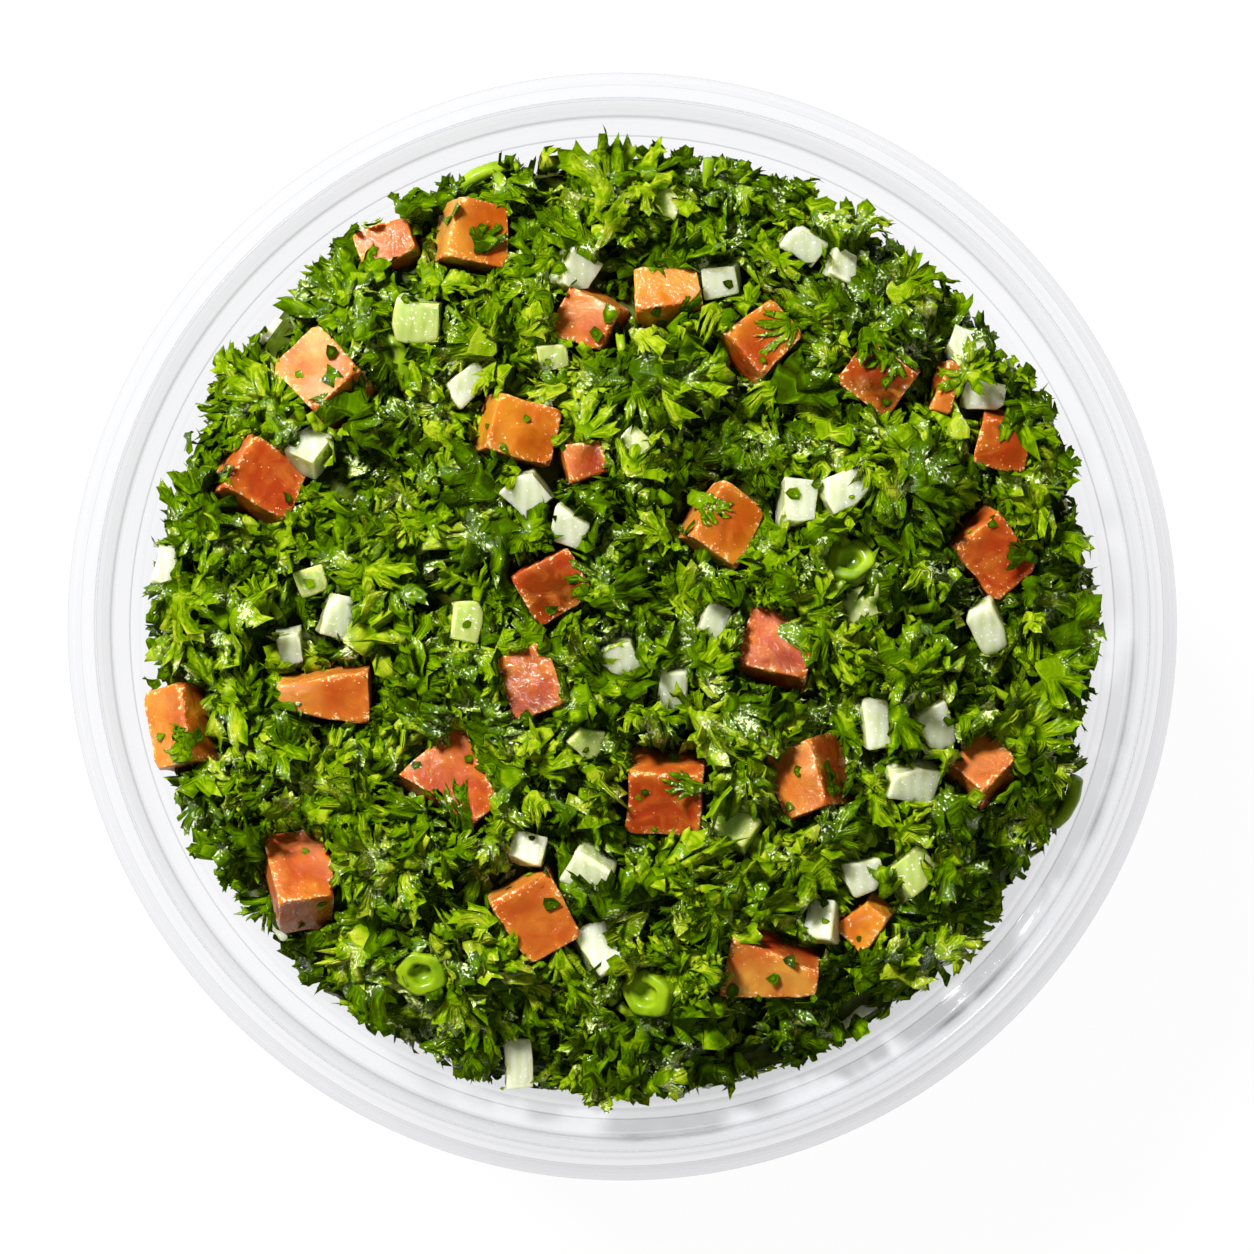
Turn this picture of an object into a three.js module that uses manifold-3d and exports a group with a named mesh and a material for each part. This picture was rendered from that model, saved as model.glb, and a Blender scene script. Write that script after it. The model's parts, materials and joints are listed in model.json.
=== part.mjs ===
// Tabbouleh salad in a clear round deli tub.
//
// The tub is one thin moulded shell: a raised floor inside a foot ring, a tapering wall, and a
// stepped rim that a snap-on lid would grip. The salad is one heap, domed above the rim: a bumpy
// core with parsley leaves, onion and cucumber dice, spring onion rings and cut stems fused on.
// Tomato dice, as large as berries, are bedded in its top as separate pieces.
//
// Millimetres, +Z up. The origin is the centre of the foot, on the surface the tub stands on.

import * as THREE from 'three';
import { ConvexGeometry } from 'three/addons/geometries/ConvexGeometry.js';
import { mergeVertices } from 'three/addons/utils/BufferGeometryUtils.js';
import Module from 'manifold-3d';

const wasm = await Module();
wasm.setup();

// ---------------------------------------------------------------- driving dimensions (mm)

// Tub
const RIM_RADIUS = 58.5;
const TUB_WALL = 0.8;
const TUB_SIDES = 40;
const FLOOR_RISE = 2.0;
const FOOT_INNER_RADIUS = 36;
const FOOT_OUTER_RADIUS = 46;
const WALL_TOP_RADIUS = 50.9;
const SHELF_HEIGHT = 37.6;
const SHELF_OUTER_RADIUS = 54.0;
const BEAD_HEIGHT = 43.9;
const LIP_DROP = 3.7;

// Salad heap
const HEAP_TOP = 49.6;
const HEAP_EDGE_HEIGHT = 35.6;
const CROWN_POWER = 2.6;
const SHOULDER_POWER = 0.52;
const LUMP_HEIGHT = 0.55;
const LUMP_LENGTH = 17;
const CHOPPED_RELIEF = 1.4;
const WALL_GAP = 0.45;
const HEAP_SIDES = 40;
const PRESSED_RELIEF = 0.5;

// Parsley: whole small leaves, chopped scraps between them, and leaves round the edge
const LEAVES = { count: 22, long: [9.5, 12.6], wide: [0.85, 1.1], rise: [14, 40], lobes: 5 };
const SCRAPS = { count: 52, long: [5.4, 8.2], wide: [0.8, 1.1], rise: [18, 56], lobes: 3 };
const EDGE_LEAVES = { count: 16, long: [7.5, 10.0], wide: [0.8, 1.05], rise: [6, 24], lobes: 4 };
const LEAF_THICKNESS = 0.55;
const LEAF_FAN = THREE.MathUtils.degToRad(232);
const LEAF_ROOT_DEPTH = 0.7;
const LEAF_BED = 1.4;

// Tomato dice
const TOMATO_SHOWN = 0.44;
const TOMATO_GAP = 0.4;
const TOMATO_CORNER = 0.13;
const TOMATO_SEED = 700;

// Onion and cucumber dice, rings and stems
const DICE_SHOWN = 0.55;
const RING_HOLE = 0.36;
const RING_SIDES = 10;
const STEM_SIDES = 6;

const GOLDEN_ANGLE = Math.PI * (3 - Math.sqrt(5));

// ---------------------------------------------------------------- where the larger pieces lie

// Each tomato piece: centre x and y, length, width and height, how far it is turned, the compass
// direction that its top leans to, how far it is tipped, and how much its far end narrows.
const TOMATOES = [
  { x: -24.6, y: 39.3, size: [6.6, 4.8, 5.2], turn: 22, lean: 120, tip: 16, taper: 0.10 },
  { x: -15.9, y: 40.6, size: [7.4, 7.4, 6.6], turn: 80, lean: 20, tip: 20, taper: 0.12 },
  { x: -3.4, y: 31.5, size: [6.2, 6.0, 6.0], turn: -25, lean: 200, tip: 16, taper: 0.08 },
  { x: 4.8, y: 33.7, size: [7.2, 5.4, 6.0], turn: 4, lean: 95, tip: 22, taper: 0.15 },
  { x: 14.3, y: 28.9, size: [7.2, 6.6, 6.4], turn: 42, lean: 40, tip: 18, taper: 0.10 },
  { x: 26.9, y: 25.9, size: [7.2, 6.6, 6.4], turn: -38, lean: 250, tip: 16, taper: 0.05 },
  { x: 33.7, y: 24.5, size: [5.8, 2.4, 4.0], turn: 72, lean: 0, tip: 14, taper: 0.20 },
  { x: -31.1, y: 25.4, size: [8.4, 7.4, 7.2], turn: -46, lean: 135, tip: 26, taper: 0.05 },
  { x: -38.1, y: 14.6, size: [8.2, 7.2, 6.8], turn: -28, lean: 10, tip: 24, taper: 0.05 },
  { x: -11.0, y: 19.5, size: [7.8, 6.8, 6.4], turn: -14, lean: 0, tip: 18, taper: 0.06 },
  { x: -4.0, y: 16.2, size: [4.4, 4.2, 4.4], turn: 15, lean: 60, tip: 12, taper: 0.05 },
  { x: 40.0, y: 19.2, size: [5.8, 5.8, 5.8], turn: -12, lean: 265, tip: 20, taper: 0.05 },
  { x: 10.3, y: 9.8, size: [7.6, 6.8, 6.6], turn: 58, lean: 0, tip: 20, taper: 0.08 },
  { x: -7.4, y: 3.6, size: [7.0, 6.6, 5.6], turn: 30, lean: 300, tip: 12, taper: 0.05 },
  { x: 38.3, y: 7.1, size: [8.0, 6.8, 6.6], turn: -52, lean: 310, tip: 20, taper: 0.06 },
  { x: -30.9, y: -7.4, size: [10.6, 6.4, 5.8], turn: 0, lean: 265, tip: 18, taper: -0.38 },
  { x: -8.8, y: -6.6, size: [7.4, 6.6, 6.2], turn: -68, lean: 180, tip: 14, taper: 0.05 },
  { x: 16.2, y: -3.4, size: [7.6, 7.0, 6.4], turn: -16, lean: 90, tip: 16, taper: 0.05 },
  { x: -46.2, y: -10.9, size: [8.8, 5.6, 6.4], turn: -78, lean: 180, tip: 30, taper: 0.05 },
  { x: -17.4, y: -17.4, size: [9.6, 9.0, 6.8], turn: -50, lean: 60, tip: 14, taper: 0.34 },
  { x: 4.4, y: -17.8, size: [8.2, 7.8, 7.2], turn: -4, lean: 270, tip: 28, taper: 0.04 },
  { x: 19.6, y: -16.5, size: [8.0, 6.4, 7.0], turn: -70, lean: 190, tip: 30, taper: 0.08 },
  { x: 37.5, y: -15.6, size: [5.8, 5.6, 5.8], turn: 45, lean: 90, tip: 26, taper: 0.05 },
  { x: -33.7, y: -27.0, size: [8.8, 6.8, 7.0], turn: -80, lean: 80, tip: 30, taper: 0.05 },
  { x: -9.0, y: -30.6, size: [8.2, 7.6, 7.0], turn: -62, lean: 300, tip: 12, taper: 0.06 },
  { x: 15.6, y: -35.8, size: [10.0, 7.8, 6.6], turn: -12, lean: 265, tip: 24, taper: 0.40 },
  { x: 25.5, y: -31.3, size: [4.8, 4.4, 4.8], turn: 48, lean: 230, tip: 20, taper: 0.16 },
];

// Each small dice: centre x and y, length and width as seen from above, and its turn.
const ONION_DICE = [
  [-5.1, 36.3, 4.4, 4.0, 60],
  [19.0, 39.8, 4.4, 3.8, -35],
  [22.8, 37.2, 3.8, 3.2, 75],
  [10.5, 35.8, 4.4, 3.4, 10],
  [-16.3, 24.6, 5.0, 3.4, 40],
  [-32.6, 17.8, 4.6, 4.0, 60],
  [-9.8, 13.0, 4.8, 4.4, -50],
  [-5.6, 9.6, 4.6, 4.2, -25],
  [-29.6, 0.4, 5.0, 3.6, 75],
  [-34.5, -2.9, 4.0, 3.0, -80],
  [18.1, 11.7, 5.2, 4.0, 85],
  [22.9, 13.2, 5.0, 4.4, 25],
  [36.1, 29.0, 4.0, 3.6, -20],
  [37.8, 23.9, 4.8, 3.4, -8],
  [38.2, -0.6, 5.6, 3.8, -62],
  [-0.4, -3.8, 4.4, 4.0, 20],
  [5.3, -6.8, 5.2, 3.2, 86],
  [9.4, -0.3, 3.8, 2.9, 70],
  [26.3, -10.8, 5.6, 3.0, -84],
  [32.3, -10.9, 5.0, 4.0, -65],
  [29.9, -16.8, 5.8, 4.2, -12],
  [-2.3, -34.4, 6.0, 4.2, -62],
  [-3.4, -26.0, 4.8, 4.0, -30],
  [-9.7, -24.0, 3.8, 3.6, -15],
  [-10.9, -46.0, 5.6, 3.0, -86],
  [24.9, -26.6, 4.6, 4.2, 15],
  [20.9, -31.4, 4.4, 3.4, 80],
  [-48.0, 6.0, 4.4, 2.9, 80],
];

const CUCUMBER_DICE = [
  [-21.2, 31.6, 5.2, 5.0, -8],
  [29.9, -26.5, 5.0, 4.8, 40],
  [25.3, 1.8, 4.7, 3.8, 15],
  [-32.2, 4.1, 3.4, 3.2, 20],
  [-3.7, -12.4, 4.2, 3.8, 50],
  [-16.4, -0.6, 5.0, 3.4, 80],
  [11.9, -21.6, 4.6, 3.8, -35],
  [1.4, 18.3, 3.4, 2.9, -50],
  [-7.4, 27.6, 3.2, 3.0, 10],
  [5.1, 43.8, 3.4, 3.0, 70],
];

// Dice that slid down between the heap and the wall: compass direction, length, width.
const WALL_DICE = [
  [140, 4.4, 3.2],
  [99, 4.2, 3.0],
  [15.5, 4.2, 3.0],
  [221, 5.4, 3.4],
  [301, 5.0, 3.4],
  [287, 4.6, 3.2],
];
const WALL_DICE_RADIUS = 47.6;
const WALL_DICE_HEIGHT = 37.2;

// Spring onion rings: centre x and y, outer diameter, height, the way the ring leans and its tip.
const RINGS = [
  [23.8, 5.6, 4.8, 3.6, 110, 18],
  [-20.8, -36.5, 5.0, 3.8, 250, 14],
  [3.1, -38.7, 5.2, 3.8, 200, 26],
];

// Cut stems: centre x and y, length, diameter, compass direction, rise from level.
const STEMS = [
  [-23.1, 27.1, 6.4, 2.0, 108, 8],
  [-14.4, 46.4, 6.0, 1.6, 18, 6],
  [8.8, 46.6, 5.0, 1.2, 90, 66],
  [44.6, -17.9, 6.0, 1.7, 96, 14],
  [29.0, 1.6, 4.2, 1.8, -8, 10],
  [15.0, -23.6, 6.2, 1.7, -38, 6],
];

// ---------------------------------------------------------------- helpers

// A repeatable random draw from 0 to 1.
function seededDraw(seed) {
  let state = seed >>> 0;
  return () => {
    state = (state + 0x6d2b79f5) >>> 0;
    let mixed = Math.imul(state ^ (state >>> 15), 1 | state);
    mixed = (mixed + Math.imul(mixed ^ (mixed >>> 7), 61 | mixed)) ^ mixed;
    return ((mixed ^ (mixed >>> 14)) >>> 0) / 4294967296;
  };
}

// A draw spread evenly from low to high.
function between(draw, low, high) {
  return low + (high - low) * draw();
}

// A closed mesh as a solid, with shared vertices merged and collapsed triangles left out.
function solidOf(geometry) {
  const bare = geometry.clone();
  bare.deleteAttribute('normal');
  bare.deleteAttribute('uv');
  const merged = mergeVertices(bare, 1e-4);
  const corners = merged.index.array;
  const kept = [];
  for (let i = 0; i < corners.length; i += 3) {
    const [a, b, c] = [corners[i], corners[i + 1], corners[i + 2]];
    if (a !== b && b !== c && c !== a) {
      kept.push(a, b, c);
    }
  }
  const mesh = new wasm.Mesh({
    numProp: 3,
    vertProperties: new Float32Array(merged.attributes.position.array),
    triVerts: new Uint32Array(kept),
  });
  return new wasm.Manifold(mesh);
}

// A solid as a geometry, each triangle with its own flat normal.
function geometryOf(solid) {
  const mesh = solid.getMesh();
  const indexed = new THREE.BufferGeometry();
  indexed.setAttribute('position', new THREE.BufferAttribute(mesh.vertProperties, 3));
  indexed.setIndex(new THREE.BufferAttribute(mesh.triVerts, 1));
  const flat = indexed.toNonIndexed();
  flat.computeVertexNormals();
  return flat;
}

// A geometry from lists of points and of corner triples.
function geometryFrom(points, triangles) {
  const geometry = new THREE.BufferGeometry();
  geometry.setAttribute('position', new THREE.Float32BufferAttribute(points.flat(), 3));
  geometry.setIndex(triangles.flat());
  return geometry;
}

// The horizontal direction at a compass angle in degrees, 0 along +X and 90 along +Y.
function compass(degrees) {
  const angle = THREE.MathUtils.degToRad(degrees);
  return new THREE.Vector3(Math.cos(angle), Math.sin(angle), 0);
}

// A turn about Z, then a tip that leans the top towards a compass direction.
function turnedAndTipped(turn, lean, tip) {
  const axis = new THREE.Vector3(0, 0, 1).cross(compass(lean));
  const tipping = new THREE.Quaternion().setFromAxisAngle(axis, THREE.MathUtils.degToRad(tip));
  const turning = new THREE.Quaternion().setFromAxisAngle(
    new THREE.Vector3(0, 0, 1),
    THREE.MathUtils.degToRad(turn),
  );
  return tipping.multiply(turning);
}

// A placing matrix from a position and a rotation.
function placing(position, rotation) {
  return new THREE.Matrix4().compose(position, rotation, new THREE.Vector3(1, 1, 1));
}

// ---------------------------------------------------------------- tub

// The middle of the tub's wall, from the axis out and up to the end of the lip.
const TUB_LINE = [
  [0, FLOOR_RISE],
  [FOOT_INNER_RADIUS, FLOOR_RISE],
  [FOOT_INNER_RADIUS + 1.6, TUB_WALL / 2],
  [FOOT_OUTER_RADIUS - 3, TUB_WALL / 2],
  [FOOT_OUTER_RADIUS - 1, TUB_WALL / 2 + 1],
  [FOOT_OUTER_RADIUS, TUB_WALL / 2 + 3],
  [WALL_TOP_RADIUS, SHELF_HEIGHT - 1],
  [WALL_TOP_RADIUS + 1, SHELF_HEIGHT],
  [SHELF_OUTER_RADIUS, SHELF_HEIGHT + 0.6],
  [SHELF_OUTER_RADIUS + 0.8, BEAD_HEIGHT - 0.7],
  [SHELF_OUTER_RADIUS + 1.4, BEAD_HEIGHT],
  [SHELF_OUTER_RADIUS + 2.1, BEAD_HEIGHT - 1.0],
  [RIM_RADIUS - 1.2, BEAD_HEIGHT - 1.5],
  [RIM_RADIUS - TUB_WALL / 2, BEAD_HEIGHT - LIP_DROP],
];
const FOOT_POINT = 5;
const WALL_TOP_POINT = 6;
const BEAD_POINT = 9;

// The line moved sideways by a distance: positive is inwards and up, the food's side.
function besideLine(line, distance) {
  return line.map(([radius, height], i) => {
    const [beforeR, beforeZ] = line[Math.max(i - 1, 0)];
    const [afterR, afterZ] = line[Math.min(i + 1, line.length - 1)];
    const before = new THREE.Vector2(radius - beforeR, height - beforeZ).normalize();
    const after = new THREE.Vector2(afterR - radius, afterZ - height).normalize();
    if (i === 0) {
      before.copy(after);
    }
    if (i === line.length - 1) {
      after.copy(before);
    }
    const along = before.clone().add(after).normalize();
    const stretch = distance / Math.max(along.dot(before), 0.5);
    const movedRadius = radius - along.y * stretch;
    return [i === 0 ? 0 : movedRadius, height + along.x * stretch];
  });
}

// A solid of revolution about Z from [radius, height] points that start and end on the axis.
function turned(profile, sides) {
  const points = profile.map(([radius, height]) => new THREE.Vector2(radius, height));
  const geometry = new THREE.LatheGeometry(points, sides);
  geometry.rotateX(Math.PI / 2);
  return geometry;
}

function tubGeometry() {
  const outside = besideLine(TUB_LINE, -TUB_WALL / 2);
  const inside = besideLine(TUB_LINE, TUB_WALL / 2);
  return turned([...outside, ...inside.reverse()], TUB_SIDES);
}

// ---------------------------------------------------------------- heap core

const CAVITY_LINE = besideLine(TUB_LINE, TUB_WALL / 2 + WALL_GAP);
const HEAP_RADIUS = CAVITY_LINE[WALL_TOP_POINT][0];

// Broad lumps in the heap's top.
function lump(x, y) {
  const first = Math.sin((x + 0.6 * y) / LUMP_LENGTH * 2 * Math.PI + 0.7);
  const second = Math.sin((y - 0.4 * x) / (LUMP_LENGTH * 0.77) * 2 * Math.PI + 2.1);
  return LUMP_HEIGHT * (first + second) / 2;
}

// The height of the bare core: a broad crown that rolls off steeply at the wall.
function coreHeight(x, y) {
  const reach = Math.min(Math.hypot(x, y) / HEAP_RADIUS, 1);
  const crown = (1 - reach ** CROWN_POWER) ** SHOULDER_POWER;
  return HEAP_EDGE_HEIGHT + (HEAP_TOP - HEAP_EDGE_HEIGHT) * crown + lump(x, y) * (1 - reach ** 6);
}

// The outward direction of the core's surface above a place.
function coreNormal(x, y) {
  const step = 0.5;
  const shrink = Math.min(1, (HEAP_RADIUS - 1.2) / Math.max(Math.hypot(x, y), 1));
  const [px, py] = [x * shrink, y * shrink];
  const slopeX = (coreHeight(px + step, py) - coreHeight(px - step, py)) / (2 * step);
  const slopeY = (coreHeight(px, py + step) - coreHeight(px, py - step)) / (2 * step);
  return new THREE.Vector3(-slopeX, -slopeY, 1).normalize();
}

function coreGeometry() {
  const below = CAVITY_LINE.slice(0, FOOT_POINT + 1);
  const sideRings = 3;
  const [footRadius, footHeight] = CAVITY_LINE[FOOT_POINT];
  for (let i = 1; i <= sideRings; i++) {
    const share = i / sideRings;
    below.push([
      footRadius + (HEAP_RADIUS - footRadius) * share,
      footHeight + (HEAP_EDGE_HEIGHT - footHeight) * share,
    ]);
  }
  const topRings = [0.985, 0.94, 0.86, 0.74, 0.58, 0.4, 0.2, 0];
  const above = topRings.map((share) => [HEAP_RADIUS * share, HEAP_EDGE_HEIGHT + 1]);
  const geometry = turned([...below, ...above], HEAP_SIDES);
  const merged = mergeVertices(stripped(geometry), 1e-4);
  const spots = merged.attributes.position;
  const draw = seededDraw(11);
  for (let i = 0; i < spots.count; i++) {
    const [x, y, z] = [spots.getX(i), spots.getY(i), spots.getZ(i)];
    if (z > HEAP_EDGE_HEIGHT + 0.5) {
      spots.setZ(i, coreHeight(x, y) + CHOPPED_RELIEF * (draw() - 0.5));
    } else if (z > footHeight + 1) {
      const inset = 1 - PRESSED_RELIEF * draw() / HEAP_RADIUS;
      spots.setXYZ(i, x * inset, y * inset, z);
    }
  }
  return merged;
}

function stripped(geometry) {
  geometry.deleteAttribute('normal');
  geometry.deleteAttribute('uv');
  return geometry;
}

// ---------------------------------------------------------------- parsley leaves

// A thin wavy leaf: a fan of pointed lobes from a stalk end at the origin, growing along +Y.
// Both faces share one pattern of triangles, so the leaf keeps its thickness everywhere.
function leafGeometry(length, width, lobes, draw) {
  const middle = [0, length * 0.42];
  const outline = [[0, 0]];
  const steps = lobes * 2 - 2;
  for (let i = 0; i <= steps; i++) {
    const angle = (i / steps - 0.5) * LEAF_FAN;
    const notch = between(draw, 0.5, 0.66);
    const reach = (i % 2 === 0 ? between(draw, 0.88, 1.08) : notch);
    outline.push([
      middle[0] + Math.sin(angle) * reach * width / 2,
      middle[1] + Math.cos(angle) * reach * length * 0.58,
    ]);
  }
  const curl = between(draw, -0.12, 0.26) * length;
  const cup = between(draw, -0.4, 0.8) * width;
  const waveHeight = between(draw, 0.05, 0.11) * width;
  const wavePhase = between(draw, 0, 2 * Math.PI);
  const bent = ([x, y]) => {
    const along = y / length;
    const across = x / width;
    const wave = waveHeight * Math.sin(7 * along + 9 * across + wavePhase);
    return [x, y, curl * along ** 2 + cup * across ** 2 + wave * (Math.abs(across) + along)];
  };
  return wafer([middle, ...outline].map(bent), LEAF_THICKNESS);
}

// A thin closed sheet from a middle point and the points of its outline.
function wafer(sheet, thickness) {
  const upper = sheet.map(([x, y, z]) => [x, y, z + thickness / 2]);
  const lower = sheet.map(([x, y, z]) => [x, y, z - thickness / 2]);
  const count = sheet.length;
  const triangles = [];
  for (let i = 1; i < count; i++) {
    const next = i === count - 1 ? 1 : i + 1;
    triangles.push([0, next, i]);
    triangles.push([count, count + i, count + next]);
    triangles.push([i, next, count + next]);
    triangles.push([i, count + next, count + i]);
  }
  return geometryFrom([...upper, ...lower], triangles);
}

// A frame rooted under the core's surface: +Y leaves it at a heading and a rise from level.
function rootedFrame(x, y, depth, heading, rise, roll) {
  const normal = coreNormal(x, y);
  const root = new THREE.Vector3(x, y, coreHeight(x, y)).addScaledVector(normal, -depth);
  const level = compass(heading);
  level.addScaledVector(normal, -level.dot(normal)).normalize();
  const lift = THREE.MathUtils.degToRad(rise);
  const along = level.clone().multiplyScalar(Math.cos(lift)).addScaledVector(normal, Math.sin(lift));
  const side = along.clone().cross(normal).normalize();
  const face = side.clone().cross(along);
  const basis = new THREE.Matrix4().makeBasis(side, along, face).setPosition(root);
  return basis.multiply(new THREE.Matrix4().makeRotationY(THREE.MathUtils.degToRad(roll)));
}

// Whether a place is taken by a tomato piece.
function onTomato(x, y) {
  return TOMATOES.some((tomato) => {
    const clear = (tomato.size[0] + tomato.size[1]) / 4 + 0.6;
    return Math.hypot(x - tomato.x, y - tomato.y) < clear;
  });
}

// One leaf of a kind, rooted in the core at a place and growing towards a heading.
function rootedLeaf(kind, x, y, heading, draw) {
  const length = between(draw, ...kind.long);
  const width = length * between(draw, ...kind.wide);
  const leaf = leafGeometry(length, width, kind.lobes, draw);
  const rise = between(draw, ...kind.rise);
  const roll = between(draw, -28, 28);
  return leaf.applyMatrix4(rootedFrame(x, y, LEAF_ROOT_DEPTH, heading, rise, roll));
}

// Leaves over the crown on a sunflower spiral, each with a heading of its own.
function crownLeaves(kind, seed) {
  const draw = seededDraw(seed);
  const leaves = [];
  for (let i = 0; i < kind.count; i++) {
    const radius = HEAP_RADIUS * 0.94 * Math.sqrt((i + 0.5) / kind.count);
    const bearing = i * GOLDEN_ANGLE + seed;
    const x = radius * Math.cos(bearing) + between(draw, -1.4, 1.4);
    const y = radius * Math.sin(bearing) + between(draw, -1.4, 1.4);
    const leaf = rootedLeaf(kind, x, y, between(draw, 0, 360), draw);
    if (!onTomato(x, y)) {
      leaves.push(leaf);
    }
  }
  return leaves;
}

// Leaves round the edge that point outwards and over the tub's shelf.
function edgeLeaves(kind, seed) {
  const draw = seededDraw(seed);
  const leaves = [];
  for (let i = 0; i < kind.count; i++) {
    const bearing = (i + between(draw, -0.3, 0.3)) * 2 * Math.PI / kind.count;
    const radius = HEAP_RADIUS * between(draw, 0.88, 0.93);
    const [x, y] = [radius * Math.cos(bearing), radius * Math.sin(bearing)];
    const heading = THREE.MathUtils.radToDeg(bearing) + between(draw, -38, 38);
    const leaf = rootedLeaf(kind, x, y, heading, draw);
    if (!onTomato(x, y)) {
      leaves.push(leaf);
    }
  }
  return leaves;
}

// ---------------------------------------------------------------- dice, rings and stems

// An uneven cut block: eight corners, each pulled a little out of true.
function blockCorners([length, width, height], taper, uneven, draw) {
  const corners = [];
  for (const sx of [-1, 1]) {
    for (const sy of [-1, 1]) {
      for (const sz of [-1, 1]) {
        const narrow = 1 - Math.max(taper * sx, 0) * 1.6;
        corners.push(new THREE.Vector3(
          sx * length / 2 * between(draw, 1 - uneven, 1),
          sy * width / 2 * narrow * between(draw, 1 - uneven, 1),
          sz * height / 2 * between(draw, 1 - uneven, 1),
        ));
      }
    }
  }
  return corners;
}

// A small dice with sharp corners, standing partly out of the core.
function smallDice([x, y, length, width, turn], seed) {
  const draw = seededDraw(seed);
  const height = between(draw, 0.8, 1) * width;
  const corners = blockCorners([length, width, height], between(draw, 0, 0.12), 0.16, draw);
  const position = new THREE.Vector3(x, y, coreHeight(x, y) + height * (DICE_SHOWN - 0.5) + LEAF_BED);
  const rotation = turnedAndTipped(turn, between(draw, 0, 360), between(draw, 6, 28));
  return new ConvexGeometry(corners).applyMatrix4(placing(position, rotation));
}

function wallDice([bearing, length, width], seed) {
  const draw = seededDraw(seed);
  const corners = blockCorners([width * 0.8, length, width], 0, 0.16, draw);
  const position = compass(bearing).multiplyScalar(WALL_DICE_RADIUS).setZ(WALL_DICE_HEIGHT);
  const rotation = turnedAndTipped(bearing, bearing, between(draw, -12, 12));
  return new ConvexGeometry(corners).applyMatrix4(placing(position, rotation));
}

function ringGeometry([x, y, diameter, height, lean, tip]) {
  const outer = diameter / 2;
  const inner = outer * RING_HOLE;
  const half = height / 2;
  const bulge = outer * 1.06;
  const profile = [
    [inner, -half],
    [outer, -half],
    [bulge, 0],
    [outer, half],
    [inner, half],
    [inner, -half],
  ];
  const position = new THREE.Vector3(x, y, coreHeight(x, y) + 0.9);
  return turned(profile, RING_SIDES).applyMatrix4(placing(position, turnedAndTipped(0, lean, tip)));
}

function stemGeometry([x, y, length, diameter, heading, rise]) {
  const stem = new THREE.CylinderGeometry(diameter / 2, diameter / 2, length, STEM_SIDES, 2);
  const spots = stem.attributes.position;
  for (let i = 0; i < spots.count; i++) {
    const along = spots.getY(i) / length;
    spots.setZ(i, spots.getZ(i) + length * 0.12 * (1 - 4 * along ** 2));
  }
  const start = compass(heading).multiplyScalar(-length / 2);
  const frame = rootedFrame(x + start.x, y + start.y, -diameter * 0.45, heading, rise, 0);
  return stem.translate(0, length / 2, 0).applyMatrix4(frame);
}

// ---------------------------------------------------------------- tomatoes

// The eight true corners of a tomato piece, with its narrow end on the far or near side.
function tomatoCorners(tomato, seed) {
  const corners = blockCorners(tomato.size, Math.abs(tomato.taper), 0.12, seededDraw(seed));
  if (tomato.taper < 0) {
    corners.forEach((corner) => corner.setX(-corner.x));
  }
  return corners;
}

// Where a tomato piece lies: bedded in the core, turned and tipped.
function tomatoPlacing(tomato) {
  const lift = tomato.size[2] * (TOMATO_SHOWN - 0.5) + LEAF_BED;
  const position = new THREE.Vector3(tomato.x, tomato.y, coreHeight(tomato.x, tomato.y) + lift);
  return placing(position, turnedAndTipped(tomato.turn, tomato.lean, tomato.tip));
}

// A tomato piece: an uneven block whose corners are cut back along its edges. Corners are listed
// by the signs of x, y and z, so flipping one bit of a corner's index gives its neighbour.
function tomatoGeometry(tomato, seed) {
  const corners = tomatoCorners(tomato, seed);
  const blunt = [];
  corners.forEach((corner, i) => {
    for (const bit of [1, 2, 4]) {
      blunt.push(corner.clone().lerp(corners[i ^ bit], TOMATO_CORNER));
    }
  });
  return new ConvexGeometry(blunt).applyMatrix4(tomatoPlacing(tomato));
}

// The pocket that a tomato piece lies in: its true corners moved out by the gap on each side.
function tomatoPocket(tomato, seed) {
  const grown = tomatoCorners(tomato, seed).map((corner) => new THREE.Vector3(
    corner.x + Math.sign(corner.x) * TOMATO_GAP,
    corner.y + Math.sign(corner.y) * TOMATO_GAP,
    corner.z + Math.sign(corner.z) * TOMATO_GAP,
  ));
  return new ConvexGeometry(grown).applyMatrix4(tomatoPlacing(tomato));
}

// ---------------------------------------------------------------- the fused heap

// The core with every piece on it, cut back from the tub and from the tomatoes. What the cuts
// leave loose is dropped, and a sealed hollow is filled, by keeping the outer body alone.
function heapGeometry() {
  const pieces = [
    ...crownLeaves(LEAVES, 23),
    ...crownLeaves(SCRAPS, 57),
    ...edgeLeaves(EDGE_LEAVES, 31),
    ...ONION_DICE.map((row, i) => smallDice(row, 300 + i)),
    ...CUCUMBER_DICE.map((row, i) => smallDice(row, 400 + i)),
    ...WALL_DICE.map((row, i) => wallDice(row, 500 + i)),
    ...RINGS.map(ringGeometry),
    ...STEMS.map(stemGeometry),
  ];
  const overhang = CAVITY_LINE[BEAD_POINT][0];
  const ceiling = HEAP_TOP + 20;
  const room = [...CAVITY_LINE.slice(0, BEAD_POINT + 1), [overhang, ceiling], [0, ceiling]];
  const cavity = solidOf(turned(room, TUB_SIDES));
  let heap = solidOf(coreGeometry());
  for (const piece of pieces) {
    heap = heap.add(solidOf(piece));
  }
  heap = heap.intersect(cavity);
  TOMATOES.forEach((tomato, i) => {
    heap = heap.subtract(solidOf(tomatoPocket(tomato, TOMATO_SEED + i)));
  });
  const bodies = heap.decompose();
  bodies.sort((a, b) => b.volume() - a.volume());
  return geometryOf(bodies[0]);
}

// ---------------------------------------------------------------- the part

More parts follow.
